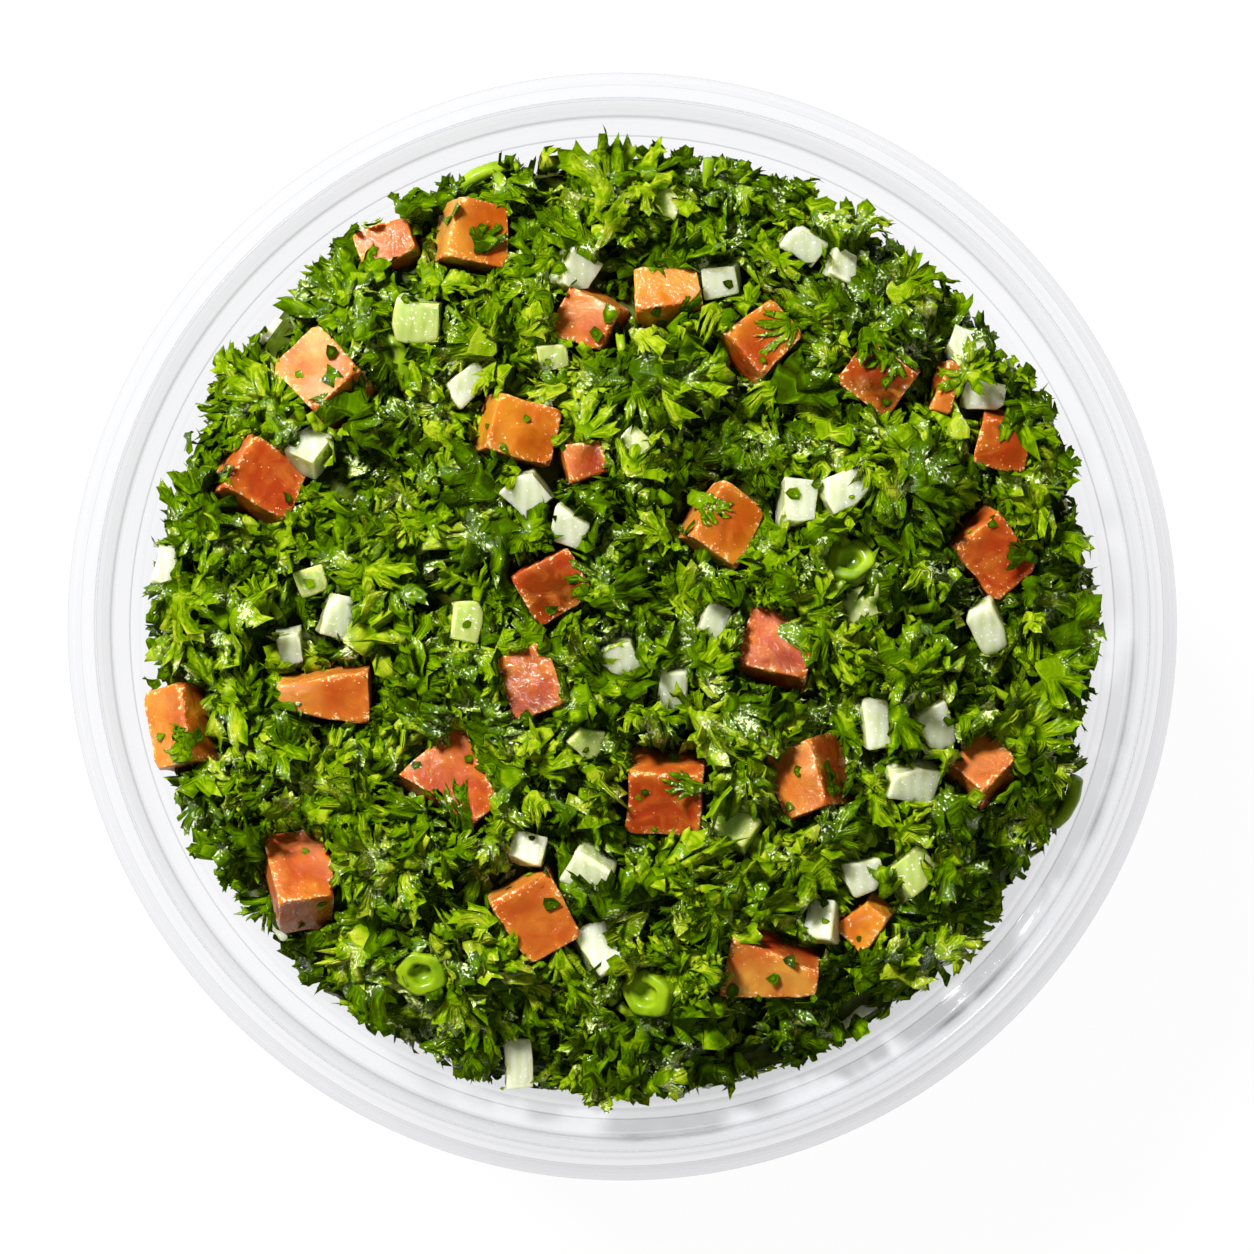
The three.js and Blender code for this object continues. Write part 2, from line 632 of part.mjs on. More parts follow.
const clearPlastic = { color: 0xe9edf0, roughness: 0.12, metalness: 0, transparent: true, opacity: 0.35 };
const parsley = { color: 0x5f8a12, roughness: 0.45, metalness: 0 };
const tomatoFlesh = { color: 0xd9572a, roughness: 0.3, metalness: 0 };

function named(name, geometry, look) {
  const mesh = new THREE.Mesh(geometry, new THREE.MeshStandardMaterial(look));
  mesh.name = name;
  return mesh;
}

const salad = new THREE.Group();
salad.add(named('tub', tubGeometry(), clearPlastic));
salad.add(named('salad_heap', heapGeometry(), parsley));
TOMATOES.forEach((tomato, i) => {
  const number = String(i + 1).padStart(2, '0');
  salad.add(named(`tomato_dice_${number}`, tomatoGeometry(tomato, TOMATO_SEED + i), tomatoFlesh));
});

export default salad;
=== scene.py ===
# %% [markdown]
# # Tabbouleh salad in a clear deli tub
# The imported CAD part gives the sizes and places: one clear tub, one heap of salad and 27 tomato
# pieces. This script dresses it. Every piece is made in metres, in the same frame as the CAD, so
# nothing has to be moved into place afterwards.

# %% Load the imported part
import json
import math
import random

import bmesh
import bpy
import numpy as np
from mathutils import Euler, Matrix, Quaternion, Vector, geometry, noise
from mathutils.bvhtree import BVHTree

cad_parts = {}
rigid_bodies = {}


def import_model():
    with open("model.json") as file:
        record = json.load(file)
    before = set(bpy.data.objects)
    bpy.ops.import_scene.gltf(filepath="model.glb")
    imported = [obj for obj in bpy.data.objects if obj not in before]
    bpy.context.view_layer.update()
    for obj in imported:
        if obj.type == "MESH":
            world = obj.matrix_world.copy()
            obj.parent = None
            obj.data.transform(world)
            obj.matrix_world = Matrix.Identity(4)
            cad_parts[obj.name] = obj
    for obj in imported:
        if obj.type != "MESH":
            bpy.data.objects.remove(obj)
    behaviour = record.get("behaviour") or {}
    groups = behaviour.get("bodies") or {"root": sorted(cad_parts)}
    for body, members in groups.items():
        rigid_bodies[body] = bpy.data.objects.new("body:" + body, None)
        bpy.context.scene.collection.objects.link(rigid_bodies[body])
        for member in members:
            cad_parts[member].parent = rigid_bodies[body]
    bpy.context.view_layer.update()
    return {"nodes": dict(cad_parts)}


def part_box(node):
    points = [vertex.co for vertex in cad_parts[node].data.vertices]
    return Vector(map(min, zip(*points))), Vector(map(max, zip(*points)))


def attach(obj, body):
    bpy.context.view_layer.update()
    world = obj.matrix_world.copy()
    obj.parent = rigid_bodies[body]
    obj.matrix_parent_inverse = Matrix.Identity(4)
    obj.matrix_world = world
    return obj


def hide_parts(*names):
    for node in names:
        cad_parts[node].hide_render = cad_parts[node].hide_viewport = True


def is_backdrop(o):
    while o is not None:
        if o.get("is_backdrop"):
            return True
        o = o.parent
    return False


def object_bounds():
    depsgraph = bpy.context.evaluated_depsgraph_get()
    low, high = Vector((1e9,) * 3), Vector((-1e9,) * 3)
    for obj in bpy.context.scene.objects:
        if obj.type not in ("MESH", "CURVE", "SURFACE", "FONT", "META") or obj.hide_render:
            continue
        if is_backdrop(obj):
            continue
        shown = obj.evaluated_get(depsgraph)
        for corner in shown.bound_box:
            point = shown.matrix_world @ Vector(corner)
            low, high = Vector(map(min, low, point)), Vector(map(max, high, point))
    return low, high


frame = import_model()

MM = 0.001
noise.seed_set(5)  # noise_vector starts from the clock unless it has a seed

# %% [markdown]
# ## Two helpers for node trees
# Materials and Geometry Nodes are both trees of nodes, so one function serves both: it adds a
# node, sets its properties, and fills each input with a value or with a link. Colours are written
# as the hex values of a paint chart, which are sRGB, and Blender's sockets want them linear. The
# scale of a pattern counts its cells in a metre, so a noise scale of 2800 is a grain of 0.36 mm.

# %% Helpers for nodes and colours


def add_node(tree, kind, inputs=None, **settings):
    """Adds one node. An input takes a value, or the output socket that it is linked to."""
    node = tree.nodes.new(kind)
    for name, value in settings.items():
        setattr(node, name, value)
    for socket, value in (inputs or {}).items():
        if isinstance(value, bpy.types.NodeSocket):
            tree.links.new(value, node.inputs[socket])
        else:
            node.inputs[socket].default_value = value
    return node


def linear(hex_colour):
    """An sRGB hex colour as a linear RGBA value."""
    channels = [int(hex_colour[i : i + 2], 16) / 255 for i in (1, 3, 5)]
    return [c / 12.92 if c <= 0.04045 else ((c + 0.055) / 1.055) ** 2.4 for c in channels] + [1.0]


def new_material(name):
    """An empty material, its node tree and its output node."""
    material = bpy.data.materials.new(name)
    material.use_nodes = True
    material.node_tree.nodes.clear()
    return material, material.node_tree, add_node(material.node_tree, "ShaderNodeOutputMaterial")


print("pure white is", linear("#ffffff")[:3])

# %% [markdown]
# ## From points to a piece
# Blender keeps the shape of an object in its mesh. All the hand-made pieces here start as a list
# of points in millimetres and a list of faces, so one function turns those into a smooth-shaded
# object whose own origin stays at the frame's origin.

# %% Helper that makes a piece
ON_AXIS = 1e-6  # a radius in mm under which a row is one point


def new_piece(name, points, faces, material=None):
    """A smooth-shaded object from points in millimetres and faces."""
    mesh = bpy.data.meshes.new(name)
    mesh.from_pydata([[c * MM for c in point] for point in points], [], faces)
    mesh.validate()
    mesh.shade_smooth()
    if material:
        mesh.materials.append(material)
    piece = bpy.data.objects.new(name, mesh)
    bpy.context.scene.collection.objects.link(piece)
    return piece


def turned(rows, sides):
    """Points and faces of a surface turned about Z from [radius, height] rows."""
    points, rings = [], []
    for radius, height in rows:
        count = sides if radius > ON_AXIS else 1
        rings.append(list(range(len(points), len(points) + count)))
        for i in range(count):
            angle = 2 * math.pi * i / sides
            points.append([radius * math.cos(angle), radius * math.sin(angle), height])
    faces = []
    for lower, upper in zip(rings, rings[1:]):
        for i in range(sides):
            j = (i + 1) % sides
            corners = [lower[i % len(lower)], lower[j % len(lower)], upper[j % len(upper)], upper[i % len(upper)]]
            apart = list(dict.fromkeys(corners))
            if len(apart) > 2:
                faces.append(apart)
    return points, faces


def triangles_in(piece):
    """How many triangles a piece has."""
    return sum(len(face.vertices) - 2 for face in piece.data.polygons)


print("a turned tube of 12 sides has", len(turned([(1, 0), (1, 1)], 12)[1]), "faces")

# %% [markdown]
# ## The tub's shape
# A deli tub is drawn down from one hot sheet of clear polyester, so its wall is thin and every
# corner is rounded. It could be modelled as a solid of revolution, by hand or with the Screw
# modifier. Here the middle line of the wall is written down once, its corners are rounded, and
# it is moved to either side for the inner and outer skin. Seen from above, each bend of the rim
# works as a thin lens and gives one of the fine grey rings that make clear plastic readable.

# %% Tub shell
WALL = 0.8
CORNER_RADIUS, CORNER_STEPS, LIP_STEPS, TUB_SIDES = 0.9, 6, 6, 192
TUB_LINE = [
    (0, 2.0), (36, 2.0), (37.6, 0.4), (43, 0.4), (45, 1.4), (46, 3.4), (50.9, 36.6), (51.9, 37.6),
    (54.0, 38.2), (54.8, 43.2), (55.4, 43.9), (56.1, 42.9), (57.3, 42.4), (58.1, 40.2),
]


def rounded(line, radius, steps):
    """The same line with each inner corner drawn as a curve."""
    soft = [line[0]]
    for before, corner, after in zip(line, line[1:], line[2:]):
        corner_v = Vector(corner)
        into, out = Vector(before) - corner_v, Vector(after) - corner_v
        reach = min(radius, 0.42 * into.length, 0.42 * out.length)
        start, end = corner_v + into.normalized() * reach, corner_v + out.normalized() * reach
        for k in range(steps + 1):
            t = k / steps
            soft.append(tuple(start * (1 - t) ** 2 + corner_v * 2 * t * (1 - t) + end * t * t))
    soft.append(line[-1])
    return soft


def beside(line, distance):
    """The line moved sideways: positive is towards the food."""
    moved = []
    for i, (radius, height) in enumerate(line):
        before, after = line[max(i - 1, 0)], line[min(i + 1, len(line) - 1)]
        along = (Vector(after) - Vector(before)).normalized()
        moved.append((0 if i == 0 else radius - along.y * distance, height + along.x * distance))
    return moved


def lip_end(line, steps):
    """A half-round end that joins the outer skin to the inner one."""
    last, earlier = Vector(line[-1]), Vector(line[-2])
    along = (last - earlier).normalized()
    across = Vector((-along.y, along.x))
    turns = [math.pi * (k / steps - 0.5) for k in range(1, steps)]
    return [tuple(last + (along * math.cos(a) + across * math.sin(a)) * WALL / 2) for a in turns]


soft_line = rounded(TUB_LINE, CORNER_RADIUS, CORNER_STEPS)
outer_skin, inner_skin = beside(soft_line, -WALL / 2), beside(soft_line, WALL / 2)
profile = outer_skin + lip_end(soft_line, LIP_STEPS) + inner_skin[::-1]
tub_shell = new_piece("tub_shell", *turned(profile, TUB_SIDES))
print("tub_shell", triangles_in(tub_shell), "triangles")

# %% [markdown]
# ## Rings, milky zones and a painted shadow
# The sheet is clearest where it was drawn furthest. A painted map could hold this, but the tub is a
# turned shape, so two numbers stored on each point are simpler, and the material reads both by name.
# The first paints a darker plastic on chosen bends of the rim: painted grey rings that stand in for
# the lines that the bends draw as lenses. The second is how milky the sheet is. It is raised on the
# side away from the key light, where it is a painted shadow of the heap on the rim.

# %% Bends, milkiness and painted shadow of the tub
SHADED_SIDE_BEARING = 295  # degrees, the bearing on which the heap's shadow is painted into the rim
HAZE_OFF_SHADED_SIDE = 0.75  # share of the haze that is left away from that side
# Corner of the line, which skin shows it, and how dark its painted grey ring is.
GREY_RINGS = [(7, "outer", 1.0), (8, "outer", 0.8), (9, "outer", 1.0), (10, "outer", 0.5), (12, "outer", 0.8)]


def row_of(corner, skin):
    """The profile row in the middle of a rounded corner."""
    row = 1 + (CORNER_STEPS + 1) * (corner - 1) + CORNER_STEPS // 2
    return row if skin == "outer" else len(profile) - 1 - row


def milkiness(radius, height):
    """The sheet is clearest where it was drawn furthest: down the wall and up the bead."""
    if height < 37.2:
        return 0.15
    return 0.4 if 38.6 < height < 43.4 and radius < 55.3 else 1.0


def painted_shadow_gain(radius, height):
    """Painted shadow: how much milkier, and so greyer, the rim is made on the side away from the key light."""
    if height < 43.4 and radius < 55.3:
        return 2.9 if height < 38.6 else 2.4
    return 0.9 if radius < 57.2 else 0.3


painted_rings = [0.0] * len(profile)
for corner, skin, depth in GREY_RINGS:
    painted_rings[row_of(corner, skin)] = depth
row_counts = [TUB_SIDES if radius > ON_AXIS else 1 for radius, _ in profile]
shaded_side = [max(math.cos(2 * math.pi * i / TUB_SIDES - math.radians(SHADED_SIDE_BEARING)), 0) ** 2 for i in range(TUB_SIDES)]
painted_ring_values = [value for value, count in zip(painted_rings, row_counts) for _ in range(count)]
haze_and_shadow_values = [milkiness(*row) * (HAZE_OFF_SHADED_SIDE + painted_shadow_gain(*row) * shaded_side[i])
               for row, count in zip(profile, row_counts) for i in range(count)]
for name, values in (("painted_ring", painted_ring_values), ("haze_and_shadow", haze_and_shadow_values)):
    tub_shell.data.attributes.new(name, "FLOAT", "POINT").data.foreach_set("value", values)
print("grey rings at radii", [round(profile[row_of(c, s)][0], 1) for c, s, _ in GREY_RINGS], "mm")

# %% [markdown]
# ## Clear drawn polyester
# The tub's plastic is PET, which is water clear and glossy. A sheet this thin hardly bends what
# lies behind it, so it is seen mostly by two things: a faint grey that builds up where the sheet
# stands edge-on to the eye, which draws the fine rings of the rim, and its gloss. Layer Weight
# tells how far a surface turns away, and mixes a pale plastic into clear air by that much. On top of
# that, the stored numbers paint darker plastic on chosen bends and a shadow on the side away from
# the key light. Full glass would also do, but it turns the rim into dark lenses that real thin tubs
# don't show.

# %% Material of the tub
clear_pet, tree, output = new_material("clear_pet_drawn_sheet")
coords = add_node(tree, "ShaderNodeTexCoord")
ripple = add_node(tree, "ShaderNodeTexNoise", {"Vector": coords.outputs["Object"], "Scale": 60.0, "Detail": 2.0})
bump = add_node(tree, "ShaderNodeBump", {"Height": ripple.outputs["Fac"], "Strength": 0.1, "Distance": 0.0004})
# Painted shadow: the stored milkiness is raised on the side away from the key light.
haze_and_shadow = add_node(tree, "ShaderNodeAttribute", attribute_name="haze_and_shadow")
painted_ring = add_node(tree, "ShaderNodeAttribute", attribute_name="painted_ring")
turned_away = add_node(tree, "ShaderNodeLayerWeight", {"Blend": 0.5})
slant = add_node(tree, "ShaderNodeMapRange", {
    "Value": turned_away.outputs["Facing"], "From Min": 0.3, "From Max": 1.0, "To Min": 0.07, "To Max": 0.45})
sheet = add_node(tree, "ShaderNodeMath", {0: haze_and_shadow.outputs["Fac"], 1: slant.outputs[0]}, operation="MULTIPLY")
# Painted grey rings: the stored ring depth adds body here, and a darker plastic below.
body = add_node(tree, "ShaderNodeMath", {0: painted_ring.outputs["Fac"], 1: 0.4, 2: sheet.outputs[0]},
                operation="MULTIPLY_ADD", use_clamp=True)
tone = add_node(tree, "ShaderNodeMix", {0: painted_ring.outputs["Fac"], 6: linear("#b6b7bb"), 7: linear("#5c5e64")},
                data_type="RGBA")
plastic = add_node(tree, "ShaderNodeBsdfPrincipled", {
    "Base Color": tone.outputs[2], "IOR": 1.57, "Roughness": 0.08, "Normal": bump.outputs["Normal"]})
long_way = add_node(tree, "ShaderNodeMapRange", {
    "Value": turned_away.outputs["Facing"], "From Min": 0.9, "From Max": 1.0}, interpolation_type="SMOOTHSTEP")
passed = add_node(tree, "ShaderNodeMix", {
    0: long_way.outputs[0], 6: linear("#fbfbfc"), 7: linear("#8e9094")}, data_type="RGBA")
air = add_node(tree, "ShaderNodeBsdfTransparent", {"Color": passed.outputs[2]})
mix = add_node(tree, "ShaderNodeMixShader", {0: body.outputs[0], 1: air.outputs[0], 2: plastic.outputs[0]})
tree.links.new(mix.outputs[0], output.inputs["Surface"])
tub_shell.data.materials.append(clear_pet)
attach(tub_shell, "root")
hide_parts("tub")
print("tub material", clear_pet.name)

# %% [markdown]
# ## The bare heap
# Under the leaves that show lies chopped parsley, packed and wet. It needs no separate leaves,
# only a dark lumpy body that fills the tub and stops the eye. Up to 72 % of its side it reaches
# just into the wall, because a wet salad lies against clear plastic with no air gap. Above that it
# draws back behind a ragged edge, so that the pale wall shows between the loose leaves that cover
# the band. Its top is the same dome as in the CAD part, a broad crown that rolls off at the wall.

# %% Dome of the heap
HEAP_TOP, HEAP_EDGE, HEAP_RADIUS = 49.6, 35.6, 50.0
FOOT_HEIGHT, FOOT_RADIUS = 3.6, 45.3
WALL_CONTACT = 0.72  # share of the side that touches the wall
EDGE_GAP = 1.7  # how far the side is drawn in at its upper end, in mm


def core_height(x, y):
    """Height in mm of the bare heap above a place in mm."""
    reach = min(math.hypot(x, y) / HEAP_RADIUS, 1)
    crown = (1 - reach**2.6) ** 0.52
    wave = math.sin((x + 0.6 * y) / 17 * 2 * math.pi + 0.7) + math.sin((y - 0.4 * x) / 13.09 * 2 * math.pi + 2.1)
    return HEAP_EDGE + (HEAP_TOP - HEAP_EDGE) * crown + 0.275 * wave * (1 - reach**6)


def core_normal(x, y):
    """Outward direction of the bare heap's top."""
    shrink = min(1, (HEAP_RADIUS - 1.2) / max(math.hypot(x, y), 1))
    px, py = x * shrink, y * shrink
    slope_x = core_height(px + 0.5, py) - core_height(px - 0.5, py)
    slope_y = core_height(px, py + 0.5) - core_height(px, py - 0.5)
    return Vector((-slope_x, -slope_y, 1)).normalized()


def dome_surface(name, rings, sides, outer_share, inner_share=0.0):
    """The dome, or a band of it, as a surface to strew things on."""
    shares = [inner_share + (outer_share - inner_share) * (1 - (i / rings) ** 1.6) for i in range(rings + 1)]
    points, faces = turned([(HEAP_RADIUS * share, 0) for share in shares], sides)
    for point in points:
        point[2] = core_height(point[0], point[1])
    return new_piece(name, points, faces)


def side_surface(name, radius_gain, low_share, high_share, rings, sides):
    """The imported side, between two shares of its height: along the wall, then drawn in from it."""
    rows = []
    for i in range(rings + 1):
        share = low_share + (high_share - low_share) * i / rings
        drawn_in = max(share - WALL_CONTACT, 0) / (1 - WALL_CONTACT) * EDGE_GAP
        rows.append((FOOT_RADIUS + (HEAP_RADIUS - FOOT_RADIUS) * share + radius_gain - drawn_in,
                     FOOT_HEIGHT + (HEAP_EDGE - FOOT_HEIGHT) * share))
    return new_piece(name, *turned(rows, sides))


print("height at the middle", round(core_height(0, 0), 1), "mm")

# %% Packed core
INTO_WALL = 0.08  # how far the core reaches into the wall, in mm
TOP_DRAWN_IN = 1.5  # how far its top edge stands back from the heap's, in mm
UNDER_LEAVES = 0.9  # how far its top lies under the dome that the leaves are strewn on
SIDE_ROWS, TOP_ROWS, CORE_SIDES = 14, 48, 168

cavity = beside(TUB_LINE, WALL / 2 - INTO_WALL)
packed = cavity[:6]
for i in range(1, SIDE_ROWS + 1):
    share = WALL_CONTACT * i / SIDE_ROWS
    packed.append((cavity[5][0] + (HEAP_RADIUS + 0.5 - cavity[5][0]) * share,
                   cavity[5][1] + (HEAP_EDGE - cavity[5][1]) * share))
for i in range(TOP_ROWS + 1):
    packed.append(((HEAP_RADIUS - TOP_DRAWN_IN) * (1 - (i / TOP_ROWS) ** 1.5), HEAP_EDGE + 1))
points, faces = turned(packed, CORE_SIDES)
for point in points:
    if point[2] > HEAP_EDGE + 0.5:
        angle = math.atan2(point[1], point[0])
        bearing = Vector((math.cos(angle), math.sin(angle), 0))
        ragged = 1 + 0.022 * noise.noise(bearing * 5.0) + 0.014 * noise.noise(bearing * 14.0)
        point[0], point[1] = point[0] * ragged, point[1] * ragged
        spot = Vector(point[:2]).to_3d()
        chopped = noise.noise(spot * 0.42) * 1.5 + noise.noise(spot * 1.1) * 0.8
        point[2] = core_height(point[0], point[1]) - UNDER_LEAVES + chopped
salad_core = new_piece("salad_core", points, faces)
print("salad_core", triangles_in(salad_core), "triangles")

# %% [markdown]
# ## Wet parsley, in the mass
# Deep in the heap only a little light comes back, so the core's colour is the parsley's own green
# darkened as painted shade: a dark mottled green with a wet gloss. A noise with cells of 2 to 3 mm,
# about the size of the cut, breaks it up.

# %% Material of the core
packed_parsley_shade, tree, output = new_material("parsley_packed_painted_shade")
coords = add_node(tree, "ShaderNodeTexCoord")
cells = add_node(tree, "ShaderNodeTexVoronoi", {"Vector": coords.outputs["Object"], "Scale": 420.0})
blend = add_node(tree, "ShaderNodeTexNoise", {"Vector": coords.outputs["Object"], "Scale": 300.0, "Detail": 4.0})
# Painted shade: two dark greens stand in for the mass that lies in shadow.
ramp = add_node(tree, "ShaderNodeValToRGB", {"Fac": blend.outputs["Fac"]})
ramp.color_ramp.elements[0].color = linear("#282c02")
ramp.color_ramp.elements[1].color = linear("#405004")
ramp.color_ramp.elements[0].position, ramp.color_ramp.elements[1].position = 0.38, 0.68
bump = add_node(tree, "ShaderNodeBump", {"Height": cells.outputs["Distance"], "Strength": 0.8, "Distance": 0.0015})
mass = add_node(tree, "ShaderNodeBsdfPrincipled", {
    "Base Color": ramp.outputs["Color"], "Roughness": 0.5, "Specular IOR Level": 0.1,
    "Normal": bump.outputs["Normal"],
})
tree.links.new(mass.outputs[0], output.inputs["Surface"])
salad_core.data.materials.append(packed_parsley_shade)
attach(salad_core, "root")
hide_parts("salad_heap")
print("core material", packed_parsley_shade.name)

# %% [markdown]
# ## Tomato pieces
# The tomatoes are cut into uneven blocks of 5 to 11 mm. Each has its own node in the CAD part, so
# its form and place are taken from there: the loose triangles are merged, the hard edges are
# rounded as a knife leaves soft flesh, and the faces are split fine enough to be dented a little.
# A Bevel modifier and a Displace modifier would also do, but here each point has to remember how
# near it is to a hard edge, because a highlight is painted there, and that is known only on the way.

# %% Edges and corners of a cut block
EDGE_REACH = 0.0009  # how wide the painted highlight along a cut edge is, in metres


def edge_nearness(spots, edges, reach):
    """1 on a hard edge, falling to 0 at the given reach from it."""
    nearest = np.full(len(spots), 1e9)
    for start, end in edges:
        along = end - start
        share = np.clip((spots - start) @ along / (along @ along), 0, 1)
        nearest = np.minimum(nearest, np.linalg.norm(spots - start - share[:, None] * along, axis=1))
    return np.clip(1 - nearest / reach, 0, 1)


def corner_cut(bm, direction, share):
    """Slices off whatever lies past a share of the block's reach in a direction."""
    reach = max(v.co.dot(direction) for v in bm.verts)
    back = min(v.co.dot(direction) for v in bm.verts)
    level = back + (reach - back) * share
    cut = bmesh.ops.bisect_plane(bm, geom=bm.verts[:] + bm.edges[:] + bm.faces[:], plane_co=direction * level,
                                 plane_no=direction, clear_outer=True)
    bmesh.ops.edgeloop_fill(bm, edges=[e for e in cut["geom_cut"] if isinstance(e, bmesh.types.BMEdge)])


half_way = edge_nearness(np.array([[0, EDGE_REACH / 2, 0]]), [(np.zeros(3), np.array([0.01, 0, 0]))], EDGE_REACH)
print("nearness half the reach away from an edge", half_way[0])

# %% Cut block


def softened_block(name, mesh_data, edge_round, dent, wave, finest, seed, cuts=()):
    """A copy of a hard block with cut corners, rounded edges and uneven faces, in metres."""
    bm = bmesh.new()
    bm.from_mesh(mesh_data)
    bmesh.ops.remove_doubles(bm, verts=bm.verts, dist=1e-6)
    bmesh.ops.dissolve_limit(bm, angle_limit=math.radians(4), verts=bm.verts, edges=bm.edges)
    for direction, share in cuts:
        corner_cut(bm, direction, share)
    hard = [e for e in bm.edges if e.is_manifold and e.calc_face_angle() > math.radians(12)]
    edges = [[np.array(v.co) for v in e.verts] for e in hard]
    bmesh.ops.bevel(bm, geom=hard, offset=edge_round, segments=3, profile=0.6, affect="EDGES", clamp_overlap=True)
    bmesh.ops.remove_doubles(bm, verts=bm.verts, dist=2e-5)
    bmesh.ops.triangulate(bm, faces=bm.faces)
    for _ in range(4):
        long_edges = [e for e in bm.edges if e.calc_length() > finest]
        if not long_edges:
            break
        bmesh.ops.subdivide_edges(bm, edges=long_edges, cuts=1, use_grid_fill=False)
        bmesh.ops.triangulate(bm, faces=[f for f in bm.faces if len(f.verts) > 3])
    bm.normal_update()
    shift = Vector((seed * 7.3, seed * 3.1, seed * 1.7))
    moves = [v.normal * (dent * noise.noise(v.co * 900 + shift) + wave * noise.noise(v.co * 260 + shift))
             for v in bm.verts]
    for vert, move in zip(bm.verts, moves):
        vert.co += move
    mesh = bpy.data.meshes.new(name)
    bm.to_mesh(mesh)
    bm.free()
    mesh.shade_smooth()
    spots = np.array([v.co for v in mesh.vertices])
    nearness = edge_nearness(spots, edges, EDGE_REACH)
    mesh.attributes.new("edge", "FLOAT", "POINT").data.foreach_set("value", nearness)
    piece = bpy.data.objects.new(name, mesh)
    bpy.context.scene.collection.objects.link(piece)
    return piece


print("a block's edges shine over", EDGE_REACH / MM, "mm")

# %% [markdown]
# ## Ripe and less ripe tomato
# One piece can run from pale flesh to red skin side, so each takes two tones and blends from one
# to the other across itself. The blend also follows which way each face turns. On most pieces the
# far tone is the darker one and lies towards the lower right, away from the key light, so there the
# blend is painted shade as well as skin. The blend is stored as a colour on each point.

# %% Tomato shapes
# Each piece: tone of its near side, tone of its far side, and the bearing from near to far. The
# far side is mostly the shaded one, so the far tone carries painted shade too.
TOMATO_TONES = {
    "peach": "#c08a36", "salmon": "#b8782a", "amber": "#c07c1a", "orange": "#aa5e0c", "coral": "#ac561a",
    "red": "#9e3612", "brick": "#803006", "brown": "#5a2802",
}
TOMATO_LOOKS = [
    ("salmon", "orange", 40), ("peach", "orange", 0), ("salmon", "coral", 300), ("amber", "orange", 270),
    ("orange", "brick", 300), ("brick", "brown", 270), ("salmon", "brick", 90), ("peach", "orange", 315),
    ("coral", "red", 0), ("amber", "orange", 330), ("orange", "brown", 0), ("coral", "brick", 270),
    ("salmon", "orange", 330), ("brick", "brown", 270), ("coral", "red", 300), ("salmon", "coral", 330),
    ("brick", "orange", 90), ("coral", "brick", 300), ("salmon", "orange", 20), ("coral", "red", 270),
    ("coral", "red", 270), ("salmon", "brick", 0), ("salmon", "coral", 270), ("coral", "orange", 270),
    ("salmon", "coral", 270), ("red", "peach", 270), ("amber", "amber", 0),
]
tomatoes = []
for number, (near, far, heading) in enumerate(TOMATO_LOOKS, 1):
    node = frame["nodes"][f"tomato_dice_{number:02d}"]
    piece = softened_block(f"tomato_{number:02d}", node.data, edge_round=0.0002, dent=0.0001, wave=0.00025,
                           finest=0.0008, seed=number)
    low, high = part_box(node.name)
    middle, span = (low + high) / 2, (high - low).length / 2.4
    direction = Vector((math.cos(math.radians(heading)), math.sin(math.radians(heading)), 0))
    colours = piece.data.attributes.new("flesh_colour_and_shade", "FLOAT_COLOR", "POINT")
    first, last = Vector(linear(TOMATO_TONES[near])[:3]), Vector(linear(TOMATO_TONES[far])[:3])
    for vert, shade in zip(piece.data.vertices, colours.data):
        share = 0.5 + (vert.co - middle).dot(direction) / span
        # Painted shade: a face turned towards the far side takes more of the far, mostly darker, tone.
        share += 0.35 * vert.normal.dot(direction) + 0.3 * noise.noise(vert.co * 330)
        share = min(max(share, 0), 1)
        smooth = share * share * (3 - 2 * share)
        shade.color = (*first.lerp(last, smooth), 1)
    tomatoes.append(piece)
print(len(tomatoes), "tomato pieces,", sum(map(triangles_in, tomatoes)), "triangles")

# %% [markdown]
# ## Cut tomato flesh
# Tomato flesh is mostly water, so light goes in and comes out a millimetre away with the red
# taken further than the green: that is subsurface scattering. Paler fibres and darker stains of 2
# to 4 mm run through it. The knife leaves a wet grain of about 0.36 mm, which breaks the gloss
# into small sparks. Pale points painted into the colour, most of them along the edges, are painted
# glints that add to them.

# %% Colours of the tomato flesh, with a painted edge highlight
tomato_flesh, tree, output = new_material("tomato_flesh_cut_wet")
coords = add_node(tree, "ShaderNodeTexCoord")
flesh = add_node(tree, "ShaderNodeAttribute", attribute_name="flesh_colour_and_shade")
edge = add_node(tree, "ShaderNodeAttribute", attribute_name="edge")
fibres = add_node(tree, "ShaderNodeTexNoise", {
    "Vector": coords.outputs["Object"], "Scale": 420.0, "Detail": 5.0, "Distortion": 0.8,
})
pale = add_node(tree, "ShaderNodeMapRange", {
    "Value": fibres.outputs["Fac"], "From Min": 0.45, "From Max": 0.7, "To Min": 0.0, "To Max": 0.5,
})
# Painted highlight: near a hard edge the flesh is mixed towards a paler orange, on top of the paler fibres.
rimmed = add_node(tree, "ShaderNodeMath", {0: edge.outputs["Fac"], 1: 0.35, 2: pale.outputs[0]},
                  operation="MULTIPLY_ADD")
streaks_and_painted_light = add_node(tree, "ShaderNodeMix", {
    0: rimmed.outputs[0], 6: flesh.outputs["Color"], 7: linear("#d6862a"),
}, data_type="RGBA")
stain = add_node(tree, "ShaderNodeTexNoise", {"Vector": coords.outputs["Object"], "Scale": 240.0, "Detail": 3.0})
dark = add_node(tree, "ShaderNodeMapRange", {
    "Value": stain.outputs["Fac"], "From Min": 0.35, "From Max": 0.6, "To Min": 0.6, "To Max": 0.0,
})
mottled = add_node(tree, "ShaderNodeMix", {
    0: dark.outputs[0], 6: streaks_and_painted_light.outputs[2], 7: linear("#962c08"),
}, data_type="RGBA")
print("flesh colours mixed by", len(tree.nodes), "nodes")

